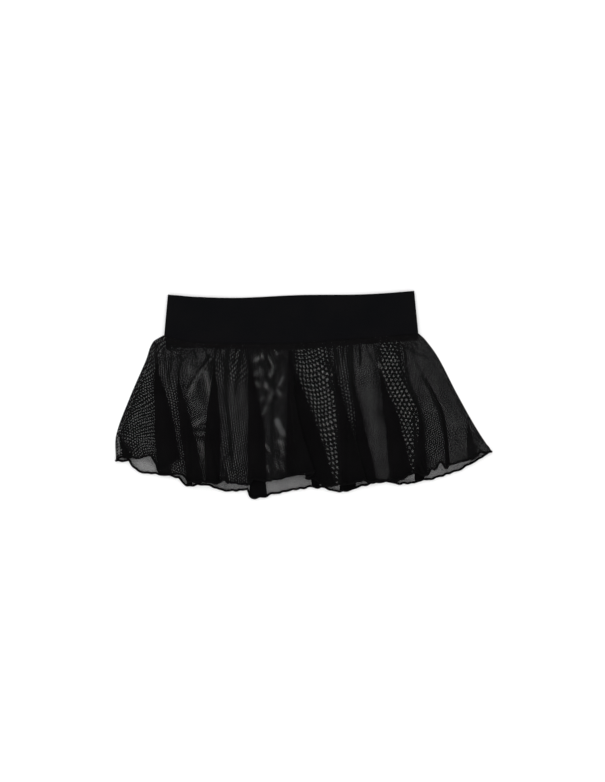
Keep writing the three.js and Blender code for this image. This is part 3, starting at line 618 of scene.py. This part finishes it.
# How far the yarn is drawn together over a panel: folds beside its two seams and slow unevenness
netShade = {
    "seamHalf": 5.0, "seamDepth": 0.28, "patchy": 0.5, "patchWave": 40, "uneven": 0.06, "wave": 26,
    "hemOpen": -0.16, "hemFrom": 0.88, "most": 1.0, "least": -1.0,
}


def drawnAt(grid, tight, seed, isFront=True):
    x, y, v = grid["x"], grid["y"], grid["v"]
    drawn = tight + drift(x, y, seed + seeds["uneven"], netShade["uneven"], netShade["wave"])
    if isFront:
        drawn = drawn + creaseAt(x, y, creases + gatherLines())
        left = x.min(axis=1, keepdims=True)
        right = x.max(axis=1, keepdims=True)
        near = np.minimum(x - left, right - x)
        patchy = 1 + drift(x, y, seed + seeds["patchy"], netShade["patchy"], netShade["patchWave"])
        drawn = drawn + netShade["seamDepth"] * patchy * np.exp(-(near / netShade["seamHalf"]) ** 2)
    else:
        opened = netShade["hemOpen"] * smoothstep(v, netShade["hemFrom"], 1)
        drawn = drawn + opened + creaseAt(x, y, backCreases)
    return np.clip(drawn, netShade["least"], netShade["most"])


# Fine waves of the rolled hem in the plane of the cloth: wave length, height and phase of each
lettuce = {
    "waves": [(14.0, 0.6, 0.3), (8.3, 0.3, 1.9), (31.0, 0.8, 4.1)], "from": 0.9,
    "wander": 1.3, "wanderOver": 71, "backPhase": 2.3,
}


def lettuceAt(x, v, shift):
    total = 0 * x
    for length, high, phase in lettuce["waves"]:
        late = lettuce["wander"] * np.sin(2 * math.pi * x / lettuce["wanderOver"] + phase + shift)
        total = total + high * np.sin(2 * math.pi * x / length + phase + lettuce["backPhase"] * shift + late)
    return total * smoothstep(v, lettuce["from"], 1)


def makeMesh(name, x, y, z, u, v, drawn=None, closed=False):
    rows, columns = x.shape
    spots = np.stack([(x + shiftX) * mm, (y + shiftY) * mm, z * mm], axis=-1).reshape(-1, 3)
    spans = columns if closed else columns - 1
    r, c = np.meshgrid(np.arange(rows - 1), np.arange(spans), indexing="ij")
    a, b = r * columns + c, r * columns + (c + 1) % columns
    faces = np.stack([a, a + columns, b + columns, b], axis=-1).reshape(-1, 4)
    mesh = bpy.data.meshes.new(name)
    mesh.from_pydata(spots.tolist(), [], faces.tolist())
    layer = mesh.uv_layers.new(name="clothMm")
    flat = np.stack([u, v], axis=-1).reshape(-1, 2)
    corners = np.empty(len(mesh.loops), dtype=np.int32)
    mesh.loops.foreach_get("vertex_index", corners)
    layer.data.foreach_set("uv", flat[corners].astype(np.float32).ravel())
    if drawn is not None:
        marks = mesh.attributes.new("drawn", "FLOAT", "POINT")
        marks.data.foreach_set("value", drawn.astype(np.float32).ravel())
    mesh.polygons.foreach_set("use_smooth", np.ones(len(mesh.polygons), dtype=bool))
    mesh.update()
    piece = bpy.data.objects.new(name, mesh)
    bpy.context.scene.collection.objects.link(piece)
    return piece


# Materials

def addNode(tree, kind, **values):
    node = tree.nodes.new(kind)
    for key, value in values.items():
        setattr(node, key, value)
    return node


def sumOf(tree, parts):
    total = parts[0]
    for part in parts[1:]:
        plus = addNode(tree, "ShaderNodeMath", operation="ADD")
        tree.links.new(total, plus.inputs[0])
        tree.links.new(part, plus.inputs[1])
        total = plus.outputs[0]
    return total


def makeGroup(name, inputs, outputs):
    group = bpy.data.node_groups.new(name, "ShaderNodeTree")
    for title, kind, value in inputs:
        socket = group.interface.new_socket(title, in_out="INPUT", socket_type=kind)
        if value is not None:
            socket.default_value = value
    for title in outputs:
        group.interface.new_socket(title, in_out="OUTPUT", socket_type="NodeSocketFloat")
    return group, group.nodes.new("NodeGroupInput"), group.nodes.new("NodeGroupOutput")


# Round holes on a honeycomb: Cover is 1 on yarn and 0 in a hole
def netHolesGroup():
    group, given, result = makeGroup("netHoles", [
        ("Cloth", "NodeSocketVector", None), ("Pitch", "NodeSocketFloat", 1.1),
        ("Opening", "NodeSocketFloat", 1.4), ("Softness", "NodeSocketFloat", 0.5),
        ("Drawn", "NodeSocketFloat", 0.0), ("Closing", "NodeSocketFloat", 1.8)], ["Cover"])
    links = group.links
    crests = []
    for k in range(3):
        angle = math.radians(60 * k + 30)
        dot = addNode(group, "ShaderNodeVectorMath", operation="DOT_PRODUCT")
        dot.inputs[1].default_value = (math.cos(angle), math.sin(angle), 0)
        links.new(given.outputs["Cloth"], dot.inputs[0])
        scale = addNode(group, "ShaderNodeMath", operation="MULTIPLY")
        scale.inputs[1].default_value = 4 * math.pi / math.sqrt(3)
        links.new(dot.outputs["Value"], scale.inputs[0])
        phase = addNode(group, "ShaderNodeMath", operation="DIVIDE")
        links.new(scale.outputs[0], phase.inputs[0])
        links.new(given.outputs["Pitch"], phase.inputs[1])
        cosine = addNode(group, "ShaderNodeMath", operation="COSINE")
        links.new(phase.outputs[0], cosine.inputs[0])
        crests.append(cosine.outputs[0])
    total = sumOf(group, crests)
    narrowed = addNode(group, "ShaderNodeMath", operation="MULTIPLY_ADD")
    links.new(given.outputs["Drawn"], narrowed.inputs[0])
    links.new(given.outputs["Closing"], narrowed.inputs[1])
    links.new(given.outputs["Opening"], narrowed.inputs[2])
    lower = addNode(group, "ShaderNodeMath", operation="SUBTRACT")
    upper = addNode(group, "ShaderNodeMath", operation="ADD")
    for edge in (lower, upper):
        links.new(narrowed.outputs[0], edge.inputs[0])
        links.new(given.outputs["Softness"], edge.inputs[1])
    hole = addNode(group, "ShaderNodeMapRange", interpolation_type="SMOOTHSTEP")
    links.new(total, hole.inputs["Value"])
    links.new(lower.outputs[0], hole.inputs["From Min"])
    links.new(upper.outputs[0], hole.inputs["From Max"])
    cover = addNode(group, "ShaderNodeMath", operation="SUBTRACT")
    cover.inputs[0].default_value = 1.0
    links.new(hole.outputs["Result"], cover.inputs[1])
    links.new(cover.outputs[0], result.inputs["Cover"])
    return group


clouds = {"detail": 4.0, "low": 0.3, "high": 0.7}


# Fine knit or rib: Height of the courses and wales, and a slow Shade over the cloth
def knitGrainGroup():
    group, given, result = makeGroup("knitGrain", [
        ("Cloth", "NodeSocketVector", None), ("Wale", "NodeSocketFloat", 1.0),
        ("Course", "NodeSocketFloat", 0.8), ("Cloud", "NodeSocketFloat", 0.02)], ["Height", "Shade"])
    links = group.links
    split = addNode(group, "ShaderNodeSeparateXYZ")
    links.new(given.outputs["Cloth"], split.inputs[0])
    crests = []
    for axis, pitch in (("X", "Wale"), ("Y", "Course")):
        turns = addNode(group, "ShaderNodeMath", operation="DIVIDE")
        links.new(split.outputs[axis], turns.inputs[0])
        links.new(given.outputs[pitch], turns.inputs[1])
        phase = addNode(group, "ShaderNodeMath", operation="MULTIPLY")
        phase.inputs[1].default_value = 2 * math.pi
        links.new(turns.outputs[0], phase.inputs[0])
        cosine = addNode(group, "ShaderNodeMath", operation="COSINE")
        links.new(phase.outputs[0], cosine.inputs[0])
        crests.append(cosine.outputs[0])
    noise = addNode(group, "ShaderNodeTexNoise", noise_dimensions="2D")
    noise.inputs["Detail"].default_value = clouds["detail"]
    links.new(given.outputs["Cloth"], noise.inputs["Vector"])
    links.new(given.outputs["Cloud"], noise.inputs["Scale"])
    links.new(sumOf(group, crests), result.inputs["Height"])
    links.new(noise.outputs["Fac"], result.inputs["Shade"])
    return group


groups = {"netHoles": netHolesGroup(), "knitGrain": knitGrainGroup()}


def newMaterial(name, look):
    material = bpy.data.materials.new(name)
    material.use_nodes = True
    tree = material.node_tree
    shader = tree.nodes["Principled BSDF"]
    shader.inputs["Roughness"].default_value = look["roughness"]
    shader.inputs["Specular IOR Level"].default_value = look["specular"]
    place = addNode(tree, "ShaderNodeUVMap", uv_map="clothMm")
    return material, tree, shader, place


def knitted(name, look):
    material, tree, shader, place = newMaterial(name, look)
    links = tree.links
    grain = addNode(tree, "ShaderNodeGroup", node_tree=groups["knitGrain"])
    for title in ("Wale", "Course", "Cloud"):
        grain.inputs[title].default_value = look[title.lower()]
    links.new(place.outputs["UV"], grain.inputs["Cloth"])
    colours = addNode(tree, "ShaderNodeValToRGB")
    low, high = colours.color_ramp.elements
    low.position, high.position = clouds["low"], clouds["high"]
    low.color, high.color = (*look["dark"], 1), (*look["light"], 1)
    links.new(grain.outputs["Shade"], colours.inputs["Fac"])
    links.new(colours.outputs["Color"], shader.inputs["Base Color"])
    bump = addNode(tree, "ShaderNodeBump")
    bump.inputs["Strength"].default_value = look["bump"]
    bump.inputs["Distance"].default_value = look["deep"]
    links.new(grain.outputs["Height"], bump.inputs["Height"])
    links.new(bump.outputs["Normal"], shader.inputs["Normal"])
    return material


netLook = {
    "pitch": 1.1, "opening": 1.66, "softness": 1.2, "closing": 1.8, "shadowCover": 0.2,
    "roughness": 0.8, "specular": 0.03,
    "dark": (0.0022, 0.0022, 0.0023), "light": (0.004, 0.004, 0.0042), "cloud": 0.02,
}


def netMaterial(look):
    material, tree, shader, place = newMaterial("openNet", look)
    links = tree.links
    holes = addNode(tree, "ShaderNodeGroup", node_tree=groups["netHoles"])
    for title in ("Pitch", "Opening", "Softness", "Closing"):
        holes.inputs[title].default_value = look[title.lower()]
    links.new(place.outputs["UV"], holes.inputs["Cloth"])
    drawn = addNode(tree, "ShaderNodeAttribute", attribute_name="drawn")
    links.new(drawn.outputs["Fac"], holes.inputs["Drawn"])
    rays = addNode(tree, "ShaderNodeLightPath")
    cover = addNode(tree, "ShaderNodeMix", data_type="FLOAT")
    cover.inputs["A"].default_value = look["shadowCover"]
    links.new(rays.outputs["Is Camera Ray"], cover.inputs["Factor"])
    links.new(holes.outputs["Cover"], cover.inputs["B"])
    links.new(cover.outputs["Result"], shader.inputs["Alpha"])
    grain = addNode(tree, "ShaderNodeGroup", node_tree=groups["knitGrain"])
    grain.inputs["Cloud"].default_value = look["cloud"]
    links.new(place.outputs["UV"], grain.inputs["Cloth"])
    colours = addNode(tree, "ShaderNodeValToRGB")
    colours.color_ramp.elements[0].color = (*look["dark"], 1)
    colours.color_ramp.elements[1].color = (*look["light"], 1)
    links.new(grain.outputs["Shade"], colours.inputs["Fac"])
    links.new(colours.outputs["Color"], shader.inputs["Base Color"])
    return material


elasticLook = {
    "roughness": 0.8, "specular": 0.04, "wale": 0.9, "course": 1.6, "cloud": 0.015,
    "dark": (0.0019, 0.0021, 0.0028), "light": (0.003, 0.0029, 0.0034), "bump": 0.5, "deep": 0.0002,
}
godetLook = {
    "roughness": 0.9, "specular": 0.03, "wale": 0.7, "course": 0.6, "cloud": 0.03,
    "dark": (0.0017, 0.0016, 0.0018), "light": (0.0025, 0.0024, 0.0026), "bump": 0.4, "deep": 0.0001,
}
threadLook = {
    "roughness": 0.85, "specular": 0.04, "wale": 0.8, "course": 1.1, "cloud": 0.05,
    "dark": (0.0018, 0.0018, 0.0019), "light": (0.003, 0.0029, 0.0031), "bump": 0.6, "deep": 0.0002,
}
finish = {
    "net": netMaterial(netLook), "elastic": knitted("ribbedElastic", elasticLook),
    "godet_knit": knitted("godetKnit", godetLook), "thread": knitted("overlockThread", threadLook),
}
print("materials made")

# Pieces

hemRows = {"front": [], "back": []}
hemSlopeRow = -4  # the row of a grid from which the cloth runs to the hem
sideSeams = {}
sideGrids = []


# The hem of a grid: its places, and the direction in which the cloth comes down to each
def hemLine(grid, columns=None):
    line = []
    for k in columns or range(grid["x"].shape[1]):
        spot, above = (np.array([grid[axis][row, k] for axis in "xyz"]) for row in (-1, hemSlopeRow))
        line.append((spot, (spot - above) / np.linalg.norm(spot - above)))
    return line


def finishPiece(piece, node, slot):
    piece.data.materials.append(finish[slot])
    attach(piece, "root")
    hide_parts(node)
    return piece


def turned(u, v, degrees):
    c, s = math.cos(math.radians(degrees)), math.sin(math.radians(degrees))
    return c * u - s * v, s * u + c * v


# grain turns the net of a panel against the net behind it and stretch pulls it sideways, more so to one side
# with bend, and size pulls it both ways. cloud is how far it is pulled about and over what length, and tight
# how far its yarn is drawn together all over.
def netRow(grain, cloud, wave, tight, stretch=0.0, bend=0.0, size=0.0):
    return dict(grain=grain, cloud=cloud, wave=wave, tight=tight, stretch=stretch, bend=bend, size=size)


netLie = {
    "sideLeft": netRow(16, 0.25, 45, 0.0, stretch=0.1), "sideRight": netRow(29, 0.1, 40, 0.02),
    "front": [
        netRow(16, 0.3, 45, 0.0, stretch=0.1, bend=0.004), netRow(17, 0.3, 36, 0.04),
        netRow(24, 0.3, 44, 0.13), netRow(17, 0.2, 50, 0.17, stretch=0.05, bend=0.002),
        netRow(20, 0.4, 34, 0.58, stretch=0.06), netRow(9.2, 0.2, 50, 0.0, stretch=0.08, bend=-0.0027),
        netRow(12.5, 0.15, 40, 0.2), netRow(26, 0.1, 40, 0.02),
        netRow(9.5, 0.15, 50, 0.0, size=-0.07), netRow(20, 0.2, 36, 0.08, stretch=0.05),
    ],
    "back": netRow(0, 0.08, 60, 0.0), "fullness": 0.22, "fullTo": 0.3,
}


def netUv(grid, lie, seed):
    x, y, v = grid["x"], grid["y"], grid["v"]
    gathered = netLie["fullness"] * (1 - smoothstep(v, 0, netLie["fullTo"]))
    across = (1 + lie["size"]) * x + (gathered + lie["stretch"]) * grid["u"] + lie["bend"] * grid["u"] ** 2
    across = across + drift(x, y, seed, lie["cloud"], lie["wave"])
    down = -(1 + lie["size"]) * y + drift(x, y, seed + seeds["down"], lie["cloud"], lie["wave"])
    return turned(across, down, lie["grain"])


def gridArea(grid):
    p = np.stack([grid["x"], grid["y"], grid["z"]], axis=-1)
    a, b = p[1:, :-1] - p[:-1, :-1], p[:-1, 1:] - p[:-1, :-1]
    c, d = p[:-1, 1:] - p[1:, 1:], p[1:, :-1] - p[1:, 1:]
    return float(sum(np.linalg.norm(np.cross(one, two), axis=-1).sum() for one, two in ((a, b), (c, d))) / 2)


cut = {"withAllowances": 1.15, "leastWide": 12.0, "leastFilled": 0.35}


def declareCut(grid):
    area = gridArea(grid)
    along = float(np.ptp(grid["y"]))
    wide = max(cut["withAllowances"] * area / along, cut["leastWide"])
    area = max(area, cut["leastFilled"] * wide * along)


def seamPairs(rows):
    return [{"left": seamOf(row, "left"), "right": seamOf(row, "right")} for row in rows]


def godetColumns(row):
    return round(max(row["rightHem"] - row["leftHem"], cloth["leastGodet"]) / cloth["columnStep"])


# Columns of the gore between two godets, from its widest place
def goreColumns(row, nextRow):
    across = max(nextRow["leftHem"] - row["rightHem"], nextRow["waist"] - row["waist"], cloth["leastGore"])
    if "leftMiddle" in row:
        across = max(across, nextRow.get("leftMiddle", 0) - row["rightMiddle"])
    return round(across / cloth["columnStep"])


goreLaps = {4: flapLap}


# Godets and gores of the front, left to right: kind, number, panel and the station where it starts
def frontOrder():
    seams = seamPairs(frontGodets)
    sideSeams["leftFront"], sideSeams["rightFront"] = seams[0]["left"], seams[-1]["right"]
    order = []
    for i, row in enumerate(frontGodets):
        godet = {**seams[i], "columns": godetColumns(row), "lap": row.get("lap")}
        order.append(("godet", i + 1, godet, row["apexAt"]))
        if i < len(frontGodets) - 1:
            gore = {"left": seams[i]["right"], "right": seams[i + 1]["left"], "lap": goreLaps.get(i + 1)}
            gore["columns"] = goreColumns(row, frontGodets[i + 1])
            gore["tucked"] = bool(gore["left"]["lap"] or gore["right"]["lap"])
            order.append(("gore", i + 1, gore, 0))
    return order


def makeFront():
    for kind, number, panel, first in frontOrder():
        grid = frontGrid(panel, first)
        hemRows["front"] += hemLine(grid)
        name = "front" + kind.capitalize() + str(number)
        if kind == "gore":
            lie = netLie["front"][number - 1]
            u, v = netUv(grid, lie, number)
            drawn = drawnAt(grid, lie["tight"], number)
            piece = makeMesh(name, grid["x"], grid["y"], grid["z"], u, v, drawn)
        else:
            piece = makeMesh(name, grid["x"], grid["y"], grid["z"], grid["u"], -grid["y"])
        finishPiece(piece, f"front_{kind}_{number}", "net" if kind == "gore" else "godet_knit")
        declareCut(grid)


def makeBack():
    seams = seamPairs(backGodets)
    sideSeams["leftBack"], sideSeams["rightBack"] = seams[0]["left"], seams[-1]["right"]
    for i, row in enumerate(backGodets):
        grid = backGrid({**seams[i], "columns": godetColumns(row)}, row["apexAt"])
        hemRows["back"] += hemLine(grid)
        piece = makeMesh(f"backGodet{i + 1}", grid["x"], grid["y"], grid["z"], grid["u"], -grid["y"])
        finishPiece(piece, f"back_godet_{i + 1}", "godet_knit")
        declareCut(grid)
        if i == len(backGodets) - 1:
            continue
        gore = {"left": seams[i]["right"], "right": seams[i + 1]["left"]}
        gore["columns"] = goreColumns(row, backGodets[i + 1])
        grid = backGrid(gore, 0)
        hemRows["back"] += hemLine(grid)
        lie = netLie["back"]
        u, v = netUv(grid, lie, seeds["back"])
        drawn = drawnAt(grid, lie["tight"], seeds["back"], isFront=False)
        piece = makeMesh(f"backGore{i + 1}", grid["x"], grid["y"], grid["z"], u, v, drawn)
        finishPiece(piece, f"back_gore_{i + 1}", "net")
        declareCut(grid)


sideColumns = {"leftFront": 10, "leftBack": 55, "rightFront": 50, "rightBack": 80}


# The two hems run on round the sides: the left fold starts both lines and the right fold ends them
def keepSideHems(name, grid):
    halfway, last = grid["halfway"], grid["x"].shape[1] - 1
    if name == "left":
        hemRows["front"] = hemLine(grid, range(halfway, -1, -1)) + hemRows["front"]
        hemRows["back"] = hemLine(grid, range(halfway, last + 1)) + hemRows["back"]
    else:
        hemRows["front"] += hemLine(grid, range(halfway + 1))
        hemRows["back"] += hemLine(grid, range(last, halfway - 1, -1))


def makeSides():
    for name, out, lap in (("left", -1, None), ("right", 1, patchLap)):
        side = {"out": out, "lap": lap, "front": sideSeams[name + "Front"], "back": sideSeams[name + "Back"],
                "frontColumns": sideColumns[name + "Front"], "backColumns": sideColumns[name + "Back"]}
        grid = sideGrid(side)
        title = "side" + name.capitalize()
        lie, behind = netLie[title], netLie["back"]
        onFront = np.arange(grid["x"].shape[1]) < grid["halfway"]
        frontU, frontV = netUv(grid, lie, seeds["side"])
        backU, backV = netUv(grid, behind, seeds["back"])
        u, v = np.where(onFront, frontU, backU), np.where(onFront, frontV, backV)
        drawn = np.where(onFront, drawnAt(grid, lie["tight"], seeds["side"]),
                         drawnAt(grid, behind["tight"], seeds["back"], isFront=False))
        piece = makeMesh(title, grid["x"], grid["y"], grid["z"], u, v, drawn)
        finishPiece(piece, f"side_gore_{name}", "net")
        sideGrids.append((piece, grid))
        keepSideHems(name, grid)


# A flat loop of cloth: along the front, round the right end, along the back and round the left end
def flatLoop(across, frontZ, backZ, turn):
    radius, centreZ = (frontZ - backZ) / 2, (frontZ + backZ) / 2
    angles = math.pi * (0.5 - np.arange(1, turn) / turn)
    outX, outZ = radius * np.cos(angles), radius * np.sin(angles)
    xs = np.concatenate([across, across[-1] + outX, across[::-1], across[0] - outX])
    zs = np.concatenate([0 * across + frontZ, centreZ + outZ, 0 * across + backZ, centreZ - outZ])
    return xs, zs, zs > centreZ, zs < centreZ


def makeBand():
    rows = np.linspace(0, 1, round(band["tall"] / band["rowStep"]) + 1)
    count = round(band["wide"] / band["columnStep"])
    grids = []
    for share in rows:
        left = lerp(band["leftTop"], band["leftBottom"], share)
        right = lerp(band["rightTop"], band["rightBottom"], share)
        frontZ, backZ = lerp(band["frontTop"], band["frontBottom"], share), band["back"]
        radius = (frontZ - backZ) / 2
        start, end = left + radius + band["wall"] / 2, right - radius - band["wall"] / 2
        xs, zs, _, isBack = flatLoop(np.linspace(start, end, count + 1), frontZ, backZ, band["turn"])
        part = (xs - left) / (right - left)
        ys = lerp(through(band["top"], part), through(band["bottom"], part), share)
        peek = band["backPeek"] * (1 - share) * np.sin(math.pi * np.clip(part, 0, 1)) ** 2 * isBack
        grids.append((xs, ys + peek, zs))
    x, y, z = (np.array([row[k] for row in grids]) for k in range(3))
    along = np.concatenate([[0], np.cumsum(np.hypot(np.diff(x[0]), np.diff(z[0])))])
    u, v = along[None, :] + 0 * x, rows[:, None] * band["tall"] + 0 * x
    piece = makeMesh("waistElastic", x, y, z, u, v, closed=True)
    thick = piece.modifiers.new("wall", "SOLIDIFY")
    thick.thickness, thick.offset = band["wall"] * mm, 0
    finishPiece(piece, "waistband", "elastic")


allowance = {
    "bottom": [
        (-189.7, 63.6), (-154.6, 62.8), (-115.1, 61.7), (-66.1, 60.4), (-18.4, 59.9), (6.1, 61),
        (28.6, 64.3), (55.2, 65.9), (82.4, 67.6), (120.5, 70.6), (156.5, 73),
    ],
    "front": 3.3, "back": 2.0, "rows": 8, "columns": 300, "turn": 6, "tuck": 2.0, "cut": (0.69, 0.01),
    "insetLeft": 2, "insetRight": 0.3,
    "ripples": [(0.45, 7.3, 0), (0.3, 3.1, 1)],  # of its lower edge: height, wave length and phase
    "pinches": [(0.22, 4.3, 2, 23), (0.15, 9.1, 0, 1)],  # of its front: the same, with a drift
}


def makeAllowance():
    shares = np.linspace(0, 1, allowance["rows"] + 1)
    frontZ, backZ = allowance["front"], allowance["back"]
    radius = (frontZ - backZ) / 2
    start = band["leftBottom"] + allowance["insetLeft"] + radius
    end = band["rightBottom"] - allowance["insetRight"] - radius
    across = np.linspace(start, end, allowance["columns"])
    xs, zs, isFront, _ = flatLoop(across, frontZ, backZ, allowance["turn"])
    low, high = straight(allowance["bottom"], xs), waistHeight(xs) + allowance["tuck"]
    for rise, length, phase in allowance["ripples"]:
        low = low + rise * np.sin(2 * math.pi * xs / length + phase)
    pinched = 0 * xs
    for rise, length, late, over in allowance["pinches"]:
        pinched = pinched + rise * np.sin(2 * math.pi * xs / length + late * np.sin(xs / over))
    x = xs[None, :] + 0 * shares[:, None]
    z = zs[None, :] + (pinched * isFront)[None, :] * np.sin(math.pi * shares)[:, None]
    y = lerp(high[None, :], low[None, :], shares[:, None])
    piece = makeMesh("waistSeamAllowance", x, y, z, x, -y, closed=True)
    finishPiece(piece, "waist_seam_allowance", "thread")


# The hem is a roll wound with thread; its line skips steps shorter than leastStep and is evened out
hemLook = {
    "radius": 1.5, "sides": 8, "spacing": 0.4, "wrap": 1.15, "wrapDepth": 0.12, "drop": 0.5,
    "leastStep": 0.9, "evening": 2, "weights": (0.25, 0.5, 0.25),
}


def makeHem(name, node, line):
    spots, downs = [line[0][0]], [line[0][1]]
    for spot, down in line[1:]:
        if np.linalg.norm(spot - spots[-1]) > hemLook["leastStep"]:
            spots.append(spot)
            downs.append(down)
    spots, downs = np.array(spots), np.array(downs)
    before, own, after = hemLook["weights"]
    for _ in range(hemLook["evening"]):
        spots[1:-1] = before * spots[:-2] + own * spots[1:-1] + after * spots[2:]
    run = np.concatenate([[0], np.cumsum(np.linalg.norm(np.diff(spots, axis=0), axis=1))])
    count = int(run[-1] / hemLook["spacing"])
    at = np.linspace(0, run[-1], count)
    centre = np.stack([np.interp(at, run, spots[:, k]) for k in range(3)], axis=-1)
    down = np.stack([np.interp(at, run, downs[:, k]) for k in range(3)], axis=-1)
    along = np.gradient(centre, axis=0)
    along /= np.linalg.norm(along, axis=1)[:, None]
    below = down - along * (down * along).sum(1)[:, None]
    below /= np.linalg.norm(below, axis=1)[:, None]
    side = np.cross(along, below)
    centre = centre + below * hemLook["drop"]
    centre[:, 2] = np.maximum(centre[:, 2], hemLook["radius"])
    angles = 2 * math.pi * np.arange(hemLook["sides"]) / hemLook["sides"]
    wrap = 1 + hemLook["wrapDepth"] * np.sin(2 * math.pi * at[:, None] / hemLook["wrap"] + angles[None, :])
    radius = hemLook["radius"] * wrap
    ring = (centre[:, None, :] + (radius * np.cos(angles))[..., None] * below[:, None, :]
            + (radius * np.sin(angles))[..., None] * side[:, None, :])
    u, v = at[:, None] + 0 * radius, angles[None, :] + 0 * radius
    piece = makeMesh(name, ring[..., 0], ring[..., 1], ring[..., 2], u, v, closed=True)
    finishPiece(piece, node, "thread")
    return piece


makeBand()
makeAllowance()
print("waist made")
makeFront()
makeBack()
makeSides()
print("panels made")
hems = [makeHem("hemFront", "hem_front", hemRows["front"]), makeHem("hemBack", "hem_back", hemRows["back"])]
for (piece, grid), hem in zip(sideGrids, hems):
    declareCut(grid)
print("hem made")
